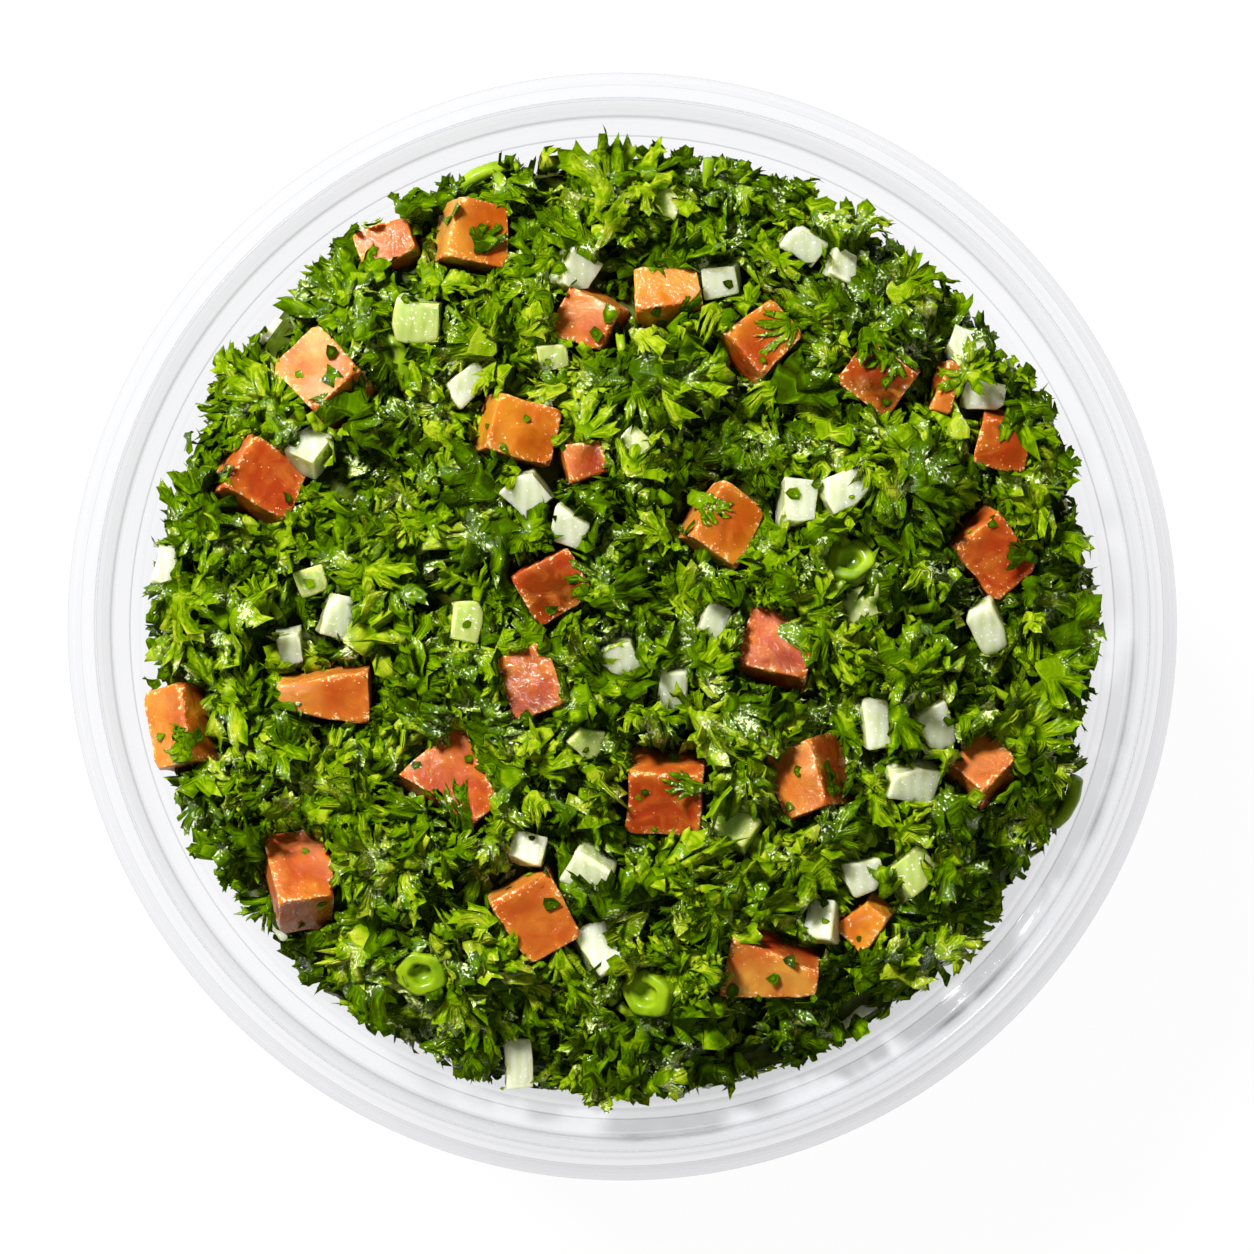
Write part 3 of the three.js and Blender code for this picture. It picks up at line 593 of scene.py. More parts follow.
# %% Wet coat of the tomatoes, with painted glints
grain = add_node(tree, "ShaderNodeTexNoise", {"Vector": coords.outputs["Object"], "Scale": 2800.0, "Detail": 2.0})
soft = add_node(tree, "ShaderNodeBump", {"Height": fibres.outputs["Fac"], "Strength": 0.3, "Distance": 0.0006})
wet = add_node(tree, "ShaderNodeBump", {
    "Height": grain.outputs["Fac"], "Strength": 0.7, "Distance": 0.0003, "Normal": soft.outputs["Normal"]})
film = add_node(tree, "ShaderNodeMapRange", {
    "Value": stain.outputs["Fac"], "From Min": 0.4, "From Max": 0.6, "To Min": 0.25, "To Max": 1.0})
# Painted glints: pale points where the grain is high, more of them near the edges and on the fibres.
edge_glint_bias = add_node(tree, "ShaderNodeMath", {0: edge.outputs["Fac"], 1: 0.18, 2: grain.outputs["Fac"]},
                  operation="MULTIPLY_ADD")
glint_mask = add_node(tree, "ShaderNodeMath", {0: fibres.outputs["Fac"], 1: 0.3, 2: edge_glint_bias.outputs[0]},
                   operation="MULTIPLY_ADD")
painted_glint = add_node(tree, "ShaderNodeMapRange", {
    "Value": glint_mask.outputs[0], "From Min": 0.85, "From Max": 0.93, "To Max": 0.8})
painted_glint_mix = add_node(tree, "ShaderNodeMix", {0: painted_glint.outputs[0], 6: mottled.outputs[2], 7: linear("#f0cc9c")},
                  data_type="RGBA")
cut = add_node(tree, "ShaderNodeBsdfPrincipled", {
    "Base Color": painted_glint_mix.outputs[2], "Roughness": 0.5, "IOR": 1.38, "Specular IOR Level": 0.1,
    "Subsurface Weight": 0.6, "Subsurface Radius": (1.0, 0.32, 0.1), "Subsurface Scale": 0.0018,
    "Coat Weight": film.outputs[0], "Coat Roughness": 0.1, "Normal": soft.outputs["Normal"],
    "Coat Normal": wet.outputs["Normal"],
})
tree.links.new(cut.outputs[0], output.inputs["Surface"])
for number, piece in enumerate(tomatoes, 1):
    piece.data.materials.append(tomato_flesh)
    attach(piece, "root")
    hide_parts(f"tomato_dice_{number:02d}")
print("tomato material", tomato_flesh.name)

# %% [markdown]
# ## Onion and cucumber dice
# The small dice are part of the CAD heap, so their rows are written here again, with the same
# draw of random numbers, and each comes out in the same place with the same corners. They are
# rounded more than the tomatoes, because onion is cut across curved layers.

# %% Rows of the dice
# x, y, length and width in mm, and turn in degrees. A wall dice has a bearing, length and width.
ONION_DICE = [
    (-5.1, 36.3, 4.4, 4.0, 60), (19.0, 39.8, 4.4, 3.8, -35), (22.8, 37.2, 3.8, 3.2, 75), (10.5, 35.8, 4.4, 3.4, 10),
    (-16.3, 24.6, 5.0, 3.4, 40), (-32.6, 17.8, 4.6, 4.0, 60), (-9.8, 13.0, 4.8, 4.4, -50),
    (-5.6, 9.6, 4.6, 4.2, -25), (-29.6, 0.4, 5.0, 3.6, 75), (-34.5, -2.9, 4.0, 3.0, -80),
    (18.1, 11.7, 5.2, 4.0, 85), (22.9, 13.2, 5.0, 4.4, 25), (36.1, 29.0, 4.0, 3.6, -20),
    (37.8, 23.9, 4.8, 3.4, -8), (38.2, -0.6, 5.6, 3.8, -62), (-0.4, -3.8, 4.4, 4.0, 20),
    (5.3, -6.8, 5.2, 3.2, 86), (9.4, -0.3, 3.8, 2.9, 70), (26.3, -10.8, 5.6, 3.0, -84),
    (32.3, -10.9, 5.0, 4.0, -65), (29.9, -16.8, 5.8, 4.2, -12), (-2.3, -34.4, 6.0, 4.2, -62),
    (-3.4, -26.0, 4.8, 4.0, -30), (-9.7, -24.0, 3.8, 3.6, -15), (-10.9, -46.0, 5.6, 3.0, -86),
    (24.9, -26.6, 4.6, 4.2, 15), (20.9, -31.4, 4.4, 3.4, 80), (-48.0, 6.0, 4.4, 2.9, 80),
]
CUCUMBER_DICE = [
    (-21.2, 31.6, 5.2, 5.0, -8), (29.9, -26.5, 5.0, 4.8, 40), (25.3, 1.8, 4.7, 3.8, 15), (-32.2, 4.1, 3.4, 3.2, 20),
    (-3.7, -12.4, 4.2, 3.8, 50), (-16.4, -0.6, 5.0, 3.4, 80), (11.9, -21.6, 4.6, 3.8, -35),
    (1.4, 18.3, 3.4, 2.9, -50), (-7.4, 27.6, 3.2, 3.0, 10), (5.1, 43.8, 3.4, 3.0, 70),
]
WALL_DICE = [(140, 4.4, 3.2), (99, 4.2, 3.0), (15.5, 4.2, 3.0), (221, 5.4, 3.4), (301, 5.0, 3.4), (287, 4.6, 3.2)]
print(len(ONION_DICE) + len(WALL_DICE), "onion rows and", len(CUCUMBER_DICE), "cucumber rows")

# %% Corners and turn of a dice


def seeded_draw(seed):
    """The CAD source's repeatable random draw from 0 to 1."""
    state, whole = seed, 0xFFFFFFFF

    def draw():
        nonlocal state
        state = (state + 0x6D2B79F5) & whole
        mixed = ((state ^ (state >> 15)) * (1 | state)) & whole
        mixed = ((mixed + (mixed ^ (mixed >> 7)) * (61 | mixed)) ^ mixed) & whole
        return (mixed ^ (mixed >> 14)) / 4294967296

    return lambda low, high: low + (high - low) * draw()


def block_corners(length, width, height, taper, uneven, draw):
    """The eight corners of an uneven cut block."""
    corners = []
    for sx in (-1, 1):
        for sy in (-1, 1):
            for sz in (-1, 1):
                narrow = 1 - max(taper * sx, 0) * 1.6
                corners.append(Vector((sx * length / 2 * draw(1 - uneven, 1),
                                       sy * width / 2 * narrow * draw(1 - uneven, 1),
                                       sz * height / 2 * draw(1 - uneven, 1))))
    return corners


def turned_and_tipped(turn, lean, tip):
    """A turn about Z, then a tip that leans the top towards a compass direction."""
    lean_direction = Vector((math.cos(math.radians(lean)), math.sin(math.radians(lean)), 0))
    tipping = Quaternion(Vector((0, 0, 1)).cross(lean_direction), math.radians(tip))
    return tipping @ Quaternion((0, 0, 1), math.radians(turn))


print("first draw of seed 300 is", round(seeded_draw(300)(0, 1), 4))

# %% Dice on the heap
BLOCK_FACES = [(0, 1, 3, 2), (4, 6, 7, 5), (0, 4, 5, 1), (2, 3, 7, 6), (0, 2, 6, 4), (1, 5, 7, 3)]
DICE_STAND = 1.8  # how far a dice stands above the dome, in mm
WALL_DICE_RADIUS, WALL_DICE_HEIGHT = 47.6, 37.2


def dice_piece(name, corners, rotation, place, seed):
    """One dice from its corners in mm, with two of its corners cut off, bowed and rounded."""
    mesh = bpy.data.meshes.new(name)
    mesh.from_pydata([c * MM for c in corners], [], BLOCK_FACES)
    draw = random.Random(seed)
    cuts = []
    for _ in range(2):
        bearing, rise = draw.uniform(0, 2 * math.pi), draw.uniform(-0.15, 0.25)
        direction = Vector((math.cos(bearing) * math.cos(rise), math.sin(bearing) * math.cos(rise), math.sin(rise)))
        cuts.append((direction, draw.uniform(0.84, 0.95)))
    block = softened_block(name, mesh, edge_round=0.0005, dent=0.00006, wave=0.0003, finest=0.0008,
                           seed=seed, cuts=cuts)
    bpy.data.meshes.remove(mesh)
    bow = draw.uniform(-1, 1) * 30
    for vert in block.data.vertices:
        vert.co.y += bow * vert.co.x**2
        vert.co = rotation @ vert.co + place * MM
    return block


def small_dice(name, row, seed):
    """A dice that stands partly out of the heap."""
    x, y, length, width, turn = row
    draw = seeded_draw(seed)
    height = draw(0.8, 1) * width
    corners = block_corners(length, width, height, draw(0, 0.12), 0.16, draw)
    rotation = turned_and_tipped(turn, draw(0, 360), draw(6, 28))
    place = Vector((x, y, core_height(x, y) + height * 0.05 + DICE_STAND))
    return dice_piece(name, corners, rotation, place, seed)


def wall_dice(name, row, seed):
    """A dice that slid down between the heap and the wall."""
    bearing, length, width = row
    draw = seeded_draw(seed)
    corners = block_corners(width * 0.8, length, width, 0, 0.16, draw)
    rotation = turned_and_tipped(bearing, bearing, draw(-12, 12))
    angle = math.radians(bearing)
    place = Vector((WALL_DICE_RADIUS * math.cos(angle), WALL_DICE_RADIUS * math.sin(angle), WALL_DICE_HEIGHT))
    return dice_piece(name, corners, rotation, place, seed)


onions = [small_dice(f"onion_{i + 1:02d}", row, 300 + i) for i, row in enumerate(ONION_DICE)]
onions += [wall_dice(f"onion_wall_{i + 1}", row, 500 + i) for i, row in enumerate(WALL_DICE)]
cucumbers = [small_dice(f"cucumber_{i + 1:02d}", row, 400 + i) for i, row in enumerate(CUCUMBER_DICE)]
print(len(onions), "onion dice and", len(cucumbers), "cucumber dice")

# %% [markdown]
# ## Raw onion and cucumber
# Raw white onion is a clear cell tissue full of water: it looks milky and slightly green. Cucumber
# is the same with more green. Both get a wide subsurface scatter, faint layers 2 to 4 mm apart, and a
# thin wet coat whose 0.4 mm grain throws small white sparks. Light is also painted into their
# colour: faces that turn up are paler and faces that turn away are painted in shade, a bright rim
# is painted along the edges where light would leave the tissue, and pale points are painted glints.

# %% Materials of the dice


def watery_dice(name, pale, deep, rim, scatter):
    """Wet translucent tissue with painted light: paler on faces that turn up, painted shade where they turn away, a
    painted highlight along its edges.
    """
    material, tree, output = new_material(name)
    coords = add_node(tree, "ShaderNodeTexCoord")
    facing = add_node(tree, "ShaderNodeNewGeometry")
    upward = add_node(tree, "ShaderNodeSeparateXYZ", {0: facing.outputs["Normal"]})
    cloud = add_node(tree, "ShaderNodeTexNoise", {"Vector": coords.outputs["Object"], "Scale": 450.0, "Detail": 2.0})
    # Painted light and shade: faces that turn up are paler, faces that turn away take the deep tone.
    turn = add_node(tree, "ShaderNodeMath", {0: upward.outputs["Z"], 1: cloud.outputs["Fac"]}, operation="ADD")
    layers = add_node(tree, "ShaderNodeTexWave", {
        "Vector": coords.outputs["Object"], "Scale": 260.0, "Distortion": 2.2, "Detail": 1.0,
    })
    streaks_and_painted_light = add_node(tree, "ShaderNodeMath", {0: layers.outputs["Fac"], 1: 0.3, 2: turn.outputs[0]},
                        operation="MULTIPLY_ADD")
    share = add_node(tree, "ShaderNodeMapRange", {"Value": streaks_and_painted_light.outputs[0], "From Min": 0.5, "From Max": 1.8})
    shade = add_node(tree, "ShaderNodeMix", {0: share.outputs[0], 6: linear(deep), 7: linear(pale)}, data_type="RGBA")
    edge = add_node(tree, "ShaderNodeAttribute", attribute_name="edge")
    # Painted highlight along the edges.
    glow = add_node(tree, "ShaderNodeMapRange", {
        "Value": edge.outputs["Fac"], "From Min": 0.5, "From Max": 1.0, "To Max": 0.8})
    rimmed = add_node(tree, "ShaderNodeMix", {0: glow.outputs[0], 6: shade.outputs[2], 7: linear(rim)},
                      data_type="RGBA")
    bump = add_node(tree, "ShaderNodeBump", {"Height": layers.outputs["Fac"], "Strength": 0.18, "Distance": 0.0002})
    grain = add_node(tree, "ShaderNodeTexNoise", {"Vector": coords.outputs["Object"], "Scale": 2600.0, "Detail": 2.0})
    wet = add_node(tree, "ShaderNodeBump", {"Height": grain.outputs["Fac"], "Strength": 0.8, "Distance": 0.0003})
    # Painted glints: pale points where the grain is high.
    painted_glint = add_node(tree, "ShaderNodeMapRange", {
        "Value": grain.outputs["Fac"], "From Min": 0.64, "From Max": 0.7, "To Max": 0.7})
    painted_glint_mix = add_node(tree, "ShaderNodeMix", {0: painted_glint.outputs[0], 6: rimmed.outputs[2], 7: linear("#f8faec")},
                      data_type="RGBA")
    tissue = add_node(tree, "ShaderNodeBsdfPrincipled", {
        "Base Color": painted_glint_mix.outputs[2], "Roughness": 0.4, "IOR": 1.38, "Specular IOR Level": 0.15,
        "Subsurface Weight": 1.0, "Subsurface Radius": scatter, "Subsurface Scale": 0.004, "Coat Weight": 0.8,
        "Coat Roughness": 0.08, "Normal": bump.outputs["Normal"], "Coat Normal": wet.outputs["Normal"],
    })
    tree.links.new(tissue.outputs[0], output.inputs["Surface"])
    return material


onion_flesh = watery_dice("onion_raw_white_wet", "#c6caae", "#929c44", "#e4e8a8", (1.0, 1.0, 0.7))
cucumber_flesh = watery_dice("cucumber_raw_wet", "#a9b766", "#6f8a1c", "#c4cf74", (0.7, 1.0, 0.35))
print("dice materials", onion_flesh.name, cucumber_flesh.name)

# %% Dice dressed
for pieces, material, slot in ((onions, onion_flesh, "onion"), (cucumbers, cucumber_flesh, "cucumber")):
    for piece in pieces:
        piece.data.materials.append(material)
        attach(piece, "root")
print(len(onions) + len(cucumbers), "dice dressed")

# %% [markdown]
# ## Spring onion rings and cut stems
# A spring onion is cut across into rings with thick juicy walls, and parsley stalks are cut into
# short rods. Both are turned shapes, so the same turning helper makes them: a ring from a rounded
# section round a hole, and a rod from a straight side with two rounded ends.

# %% Spring onion rings
# x, y, diameter and height in mm, then the lean and the tip in degrees.
RINGS = [(23.8, 5.6, 4.8, 3.6, 110, 18), (-20.8, -36.5, 5.0, 3.8, 250, 14), (3.1, -38.7, 5.2, 3.8, 200, 26)]
RING_STAND = 2.6  # how far the middle of a ring stands above the dome, in mm


def ring_piece(name, row, seed):
    """One spring onion ring: a thick wall, uneven all round, with a hollow that doesn't go through."""
    x, y, diameter, height, lean, tip = row
    outer, half = diameter / 2, height / 2
    rows = [(0, -half), (outer * 0.82, -half), (outer, -half * 0.75), (outer * 1.06, 0), (outer * 1.03, half * 0.8),
            (outer * 0.94, half * 0.98), (outer * 0.56, half), (outer * 0.44, half * 0.8),
            (outer * 0.38, half * 0.35), (0, half * 0.25)]
    points, faces = turned(rounded(rows, 0.3, 2), 28)
    rotation = turned_and_tipped(0, lean, tip)
    place = Vector((x, y, core_height(x, y) + RING_STAND))
    spots = []
    for point in points:
        angle = math.atan2(point[1], point[0])
        uneven = 1 + 0.06 * math.sin(2 * angle + seed) + 0.05 * math.sin(5 * angle + 2 * seed)
        spots.append(rotation @ Vector((point[0] * uneven, point[1] * uneven * 0.93, point[2])) + place)
    return new_piece(name, spots, faces)


rings = [ring_piece(f"spring_onion_ring_{i + 1}", row, i + 1) for i, row in enumerate(RINGS)]
print(len(rings), "rings")

# %% Cut stems
# x, y, length and diameter in mm, then the heading and the rise in degrees.
STEMS = [
    (-23.1, 27.1, 6.4, 2.0, 108, 8), (-14.4, 46.4, 6.0, 1.6, 18, 6), (8.8, 46.6, 5.0, 1.2, 90, 66),
    (44.6, -17.9, 6.0, 1.7, 96, 14), (29.0, 1.6, 4.2, 1.8, -8, 10), (15.0, -23.6, 6.2, 1.7, -38, 6),
]


def rooted_frame(x, y, depth, heading, rise):
    """A matrix in mm whose +Y leaves the heap's surface at a heading and a rise from level."""
    normal = core_normal(x, y)
    root = Vector((x, y, core_height(x, y))) - normal * depth
    level = Vector((math.cos(math.radians(heading)), math.sin(math.radians(heading)), 0))
    level = (level - normal * level.dot(normal)).normalized()
    along = level * math.cos(math.radians(rise)) + normal * math.sin(math.radians(rise))
    side = along.cross(normal).normalized()
    face = side.cross(along)
    basis = Matrix((side, along, face)).transposed().to_4x4()
    basis.translation = root
    return basis


def stem_piece(name, row, seed):
    """One cut stalk: a bowed rod with a shallow groove and clean cut ends."""
    x, y, length, diameter, heading, rise = row
    radius = diameter / 2
    rows = [(0, 0), (radius * 0.85, 0), (radius, 0.12)]
    rows += [(radius * (1 + 0.05 * math.sin(k * 1.9 + seed)), length * k / 8) for k in range(1, 8)]
    rows += [(radius, length - 0.12), (radius * 0.85, length), (0, length)]
    points, faces = turned(rows, 14)
    start = Vector((math.cos(math.radians(heading)), math.sin(math.radians(heading)))) * -length / 2
    basis = rooted_frame(x + start.x, y + start.y, -diameter * 0.45, heading, rise)
    spots = []
    for px, pz, py in points:
        along = py / length - 0.5
        groove = 1 - 0.16 * math.exp(-((math.atan2(pz, px) - 1.2) ** 2) / 0.2)
        spots.append(basis @ Vector((px * groove, py, pz * groove + length * 0.12 * (1 - 4 * along**2))))
    return new_piece(name, spots, [face[::-1] for face in faces])


stems = [stem_piece(f"stem_{i + 1}", row, i + 1) for i, row in enumerate(STEMS)]
print(len(stems), "stems")

# %% Material of rings and stems
stalk_green, tree, output = new_material("stalk_fresh_cut_wet")
coords = add_node(tree, "ShaderNodeTexCoord")
patch = add_node(tree, "ShaderNodeTexNoise", {"Vector": coords.outputs["Object"], "Scale": 380.0, "Detail": 2.0})
ramp = add_node(tree, "ShaderNodeValToRGB", {"Fac": patch.outputs["Fac"]})
ramp.color_ramp.elements[0].color = linear("#5c7c04")
ramp.color_ramp.elements[1].color = linear("#8ca414")
ramp.color_ramp.elements[0].position, ramp.color_ramp.elements[1].position = 0.35, 0.68
bump = add_node(tree, "ShaderNodeBump", {"Height": patch.outputs["Fac"], "Strength": 0.2, "Distance": 0.0003})
stalk = add_node(tree, "ShaderNodeBsdfPrincipled", {
    "Base Color": ramp.outputs["Color"], "Roughness": 0.4, "IOR": 1.4, "Subsurface Weight": 0.4,
    "Subsurface Radius": (0.8, 1.0, 0.1), "Subsurface Scale": 0.0012, "Specular IOR Level": 0.2, "Coat Weight": 0.3,
    "Coat Roughness": 0.1, "Normal": bump.outputs["Normal"],
})
tree.links.new(stalk.outputs[0], output.inputs["Surface"])
for piece in rings + stems:
    piece.data.materials.append(stalk_green)
    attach(piece, "root")
print("stalk material", stalk_green.name)

# %% [markdown]
# ## One chopped parsley leaf
# A leaf of curly parsley is a fan of narrow wedges, each with two or three blunt teeth at its end,
# and the rim grows faster than the middle, so it ruffles and crumples. A flat outline is filled
# with triangles, given ruffles and folds as heights, then rolled and crumpled by a noise. Both
# faces share the outline, so a leaf is a closed, thin lens with a sharp rim. Each point also keeps
# how far it is from the nearest rib and from the stalk, and the material draws the veins from
# those two numbers.

# %% Leaf outline
# Ends of a lobe: share of its half width from one side to the other, and share of its reach. The
# first has three teeth, the second has teeth up its side too, and the third is narrow.
LOBE_ENDS = (
    ((-0.94, 0.66), (-0.80, 0.90), (-0.44, 0.84), (-0.04, 1.05), (0.36, 0.86), (0.76, 0.96), (0.95, 0.68)),
    ((-0.78, 0.56), (-1.0, 0.72), (-0.62, 0.78), (-0.42, 1.0), (-0.08, 0.90), (0.26, 1.06), (0.56, 0.84), (0.96, 0.78)),
    ((-0.90, 0.64), (-0.56, 0.98), (-0.18, 0.88), (0.22, 1.04), (0.62, 0.82), (0.92, 0.80)),
)


def lobed_outline(draw, lobes, fan, cut_back, slim=1.0):
    """Outline and rib points of a leaf about 1 long, each with its distance from the nearest rib."""
    outline, inside = [], []
    step = fan / lobes
    gully = 0.8 if lobes > 4 else 1
    for i in range(lobes):
        axis = (i + 0.5) * step - fan / 2
        outwards = abs(2 * (i + 0.5) / lobes - 1)
        reach = (1 - 0.3 * outwards**2) * draw.uniform(0.8, 1.1)
        wide = step * draw.uniform(0.4, 0.49) * slim
        side = draw.choice((-1, 1))
        ends = draw.choice(LOBE_ENDS)[::side]
        for across, share in ((-1.0, draw.uniform(0.3, 0.52) * gully), *((side * a, s) for a, s in ends)):
            angle = axis + across * wide
            far = reach * share * draw.uniform(0.96, 1.04)
            outline.append((math.sin(angle) * far, math.cos(angle) * far, abs(across)))
        for share in (0.36, 0.72):
            inside.append((math.sin(axis) * reach * share, math.cos(axis) * reach * share, 0.0))
    outline.append((math.sin(fan / 2) * 0.34, math.cos(fan / 2) * 0.34, 1.0))
    outline += [(0.08, cut_back, 0.4), (-0.08, cut_back, 0.4)]
    return outline, inside


print("outline of three lobes has", len(lobed_outline(random.Random(1), 3, 2.2, -0.1)[0]), "points")

# %% Outlines of shreds and crumbs


def strip_outline(draw, width):
    """Outline and rib points of a narrow shred about 1 long with a toothed side."""
    outline = [(-width * 0.5, 0, 1.0), (-width * 0.45, 0.4, 1.0), (-width * 0.8, 0.62, 1.0), (-width * 0.3, 0.66, 0.8),
               (draw.uniform(-0.3, 0.3) * width, 1, 0.0), (width * 0.45, 0.62, 1.0), (width * 0.85, 0.46, 1.0),
               (width * 0.4, 0.36, 0.8), (width * 0.5, 0, 1.0)]
    return outline, [(0, 0.22, 0.0), (0, 0.52, 0.0)]


def crumb_outline(draw):
    """Outline of a crumb of leaf about 1 across, with one rib point."""
    outline = []
    for k in range(6):
        angle, far = -2 * math.pi * k / 6 + draw.uniform(-0.3, 0.3), draw.uniform(0.32, 0.58)
        outline.append((math.cos(angle) * far, 0.5 + math.sin(angle) * far, 1.0))
    return outline, [(0, 0.5, 0.0)]


print("outline of a crumb has", len(crumb_outline(random.Random(1))[0]), "points")

# %% Leaf filling


def edges_of(face):
    """The three edges of a triangle, in order round it."""
    return [frozenset((face[k], face[(k + 1) % 3])) for k in range(3)]


def edge_uses(faces):
    """How many triangles each edge belongs to."""
    uses = {}
    for face in faces:
        for edge in edges_of(face):
            uses[edge] = uses.get(edge, 0) + 1
    return uses


def rim_points(faces):
    """The points on the open edge of some triangles."""
    return {corner for edge, count in edge_uses(faces).items() if count == 1 for corner in edge}


def halved(points, faces, chosen):
    """The triangles again, with each chosen edge split in the middle."""
    points, halves, split = list(points), {}, []
    for edge in chosen:
        a, b = edge
        halves[edge] = len(points)
        points.append(tuple((points[a][k] + points[b][k]) / 2 for k in range(3)))
    for face in faces:
        middles = [halves.get(edge) for edge in edges_of(face)]
        count = sum(m is not None for m in middles)
        first = next((k for k in range(3) if (middles[k - 1] is None if count == 2 else middles[k] is not None)), 0)
        a, b, c = face[first:] + face[:first]
        ab, bc, ca = middles[first:] + middles[:first]
        split += {
            0: [(a, b, c)],
            1: [(a, ab, c), (ab, b, c)],
            2: [(ab, b, bc), (a, ab, bc), (a, bc, c)],
            3: [(a, ab, ca), (ab, b, bc), (ca, bc, c), (ab, bc, ca)],
        }[count]
    return points, split


def filled(outline, inside):
    """Flat points (x, y, rib distance) and triangles. An inner edge that joins two points of the rim
    is split, because the leaf would be pinched to nothing along it."""
    source = outline + inside
    loop = list(range(len(outline)))
    spots, _, faces, origins, _, _ = geometry.delaunay_2d_cdt([Vector(p[:2]) for p in source], [], [loop], 1, 1e-5)
    points = [(s.x, s.y, source[o[0]][2] if o else 0.5) for s, o in zip(spots, origins)]
    faces = [tuple(face) for face in faces]
    rim = rim_points(faces)
    pinched = [edge for edge, count in edge_uses(faces).items() if count > 1 and edge <= rim]
    return halved(points, faces, pinched)


points, faces = filled(*lobed_outline(random.Random(1), 3, 2.2, -0.1))
finer_faces = halved(points, faces, list(edge_uses(faces)))[1]
print("filled with", len(faces), "triangles, or", len(finer_faces), "when each edge is split")

# %% Leaf in the round


def rolled(x, y, z, along, across):
    """Rolls a thin shape: along its length by one angle, and across its width by another."""
    if abs(along) > 1e-3:
        radius = 1 / along
        x, y, z = x, (radius - z) * math.sin(y * along), radius - (radius - z) * math.cos(y * along)
    if abs(across) > 1e-3:
        radius = 1 / across
        x, y, z = (radius - z) * math.sin(x * across), y, radius - (radius - z) * math.cos(x * across)
    return x, y, z


def leaf_part(draw, shape, length, ruffle, fold, roll, cup, crumple=0.5, levels=0, thick=0.24):
    """One closed leaf in mm that grows along +Y: its points, faces and what each point keeps."""
    points, faces = filled(*shape)
    for _ in range(levels):
        points, faces = halved(points, faces, list(edge_uses(faces)))
    rim = rim_points(faces)
    waves, phase, second = draw.uniform(4, 8), draw.uniform(0, 6.28), draw.uniform(0, 6.28)
    shift = Vector((draw.uniform(0, 90), draw.uniform(0, 90), draw.uniform(0, 90)))
    upper, lower, lower_of, kept, kept_below = [], [], {}, [], []
    for i, (x, y, rib) in enumerate(points):
        far, angle = math.hypot(x, y), math.atan2(x, y)
        height = ruffle * far**1.5 * (math.sin(waves * angle + phase) + 0.5 * math.sin(9 * y + 4 * x + second))
        height += fold * rib * far * 0.5 + 0.6 * far**2 * noise.noise(Vector((angle * 2.2, phase * 9, 0)))
        crumpled = noise.noise_vector(Vector((x, y, height)) * length * 0.75 + shift) * crumple
        half = 0 if i in rim else thick / length / 2
        upper.append(Vector(rolled(x, y, height + half, roll, cup)) * length + crumpled)
        kept.append((rib, far * length / 10, float(i in rim)))
        if i in rim:
            lower_of[i] = i
        else:
            lower_of[i] = len(points) + len(lower)
            lower.append(Vector(rolled(x, y, height - half, roll, cup)) * length + crumpled)
            kept_below.append(kept[-1])
    both = faces + [tuple(lower_of[c] for c in reversed(face)) for face in faces]
    return upper + lower, both, kept + kept_below


one_scrap = leaf_part(random.Random(1), lobed_outline(random.Random(1), 2, 1.4, -0.1), 3.0, 0.1, 0.0, 0.0, 0.0)
print("a scrap of two lobes has", len(one_scrap[1]), "triangles")

# %% Leaves as one piece
SHARP_RIM = 100  # degrees between the two faces of a leaf, past which its rim is shaded sharp


def cut_piece(name, parts, bases=None):
    """One piece from some closed leaves, each put in its place by a matrix."""
    points, faces, kept = [], [], []
    for number, (leaf_points, leaf_faces, leaf_kept) in enumerate(parts):
        basis = bases[number] if bases else Matrix.Identity(4)
        faces += [tuple(corner + len(points) for corner in face) for face in leaf_faces]
        points += [basis @ point for point in leaf_points]
        kept += leaf_kept
    piece = new_piece(name, points, faces)
    mesh = piece.data
    veins = mesh.uv_layers.new(name="UVMap")
    for loop in mesh.loops:
        veins.data[loop.index].uv = kept[loop.vertex_index][:2]
    mesh.attributes.new("rim", "FLOAT", "POINT").data.foreach_set("value", [row[2] for row in kept])
    mesh.set_sharp_from_angle(angle=math.radians(SHARP_RIM))
    return piece


print("a fold of more than", SHARP_RIM, "degrees stays sharp")

# %% [markdown]
# ## A chopping board full of shapes
# No two chopped leaves are alike, but a few dozen different ones, turned and scaled, look like
# thousands. They go into collections: scraps of two lobes, small leaves of three or four, fronds of
# four or five, tufts of four leaves from one stalk, narrow shreds, crumbs and bits of stalk. Each
# kind has few triangles, since it is repeated.

# %% Collections of cut pieces


def board(name, pieces):
    """A collection that holds pieces for strewing."""
    collection = bpy.data.collections.new(name)
    bpy.context.scene.collection.children.link(collection)
    for piece in pieces:
        bpy.context.scene.collection.objects.unlink(piece)
        collection.objects.link(piece)
    print(name, len(pieces), "shapes of", [triangles_in(p) for p in pieces][:3], "triangles")
    return collection


def lobed_leaf(draw, lobes, fan, length):
    """One leaf with its own outline, folds, ruffle and curl. A wide one curls less."""
    shape = lobed_outline(draw, lobes, fan, draw.uniform(-0.16, -0.04))
    return leaf_part(draw, shape, length, ruffle=draw.uniform(0.08, 0.2), fold=draw.uniform(-1.2, 0.5),
                     roll=draw.uniform(-1.9, 0.3) * (0.6 if lobes > 4 else 1), cup=draw.uniform(-1.6, 1.2),
                     crumple=draw.uniform(0.4, 0.8))


def many(kind, count, seed, maker):
    """Several pieces of one kind, each from its own seeded draw."""
    return board(f"{kind}_shapes", [cut_piece(f"{kind}_{i}", *maker(random.Random(seed + i))) for i in range(count)])


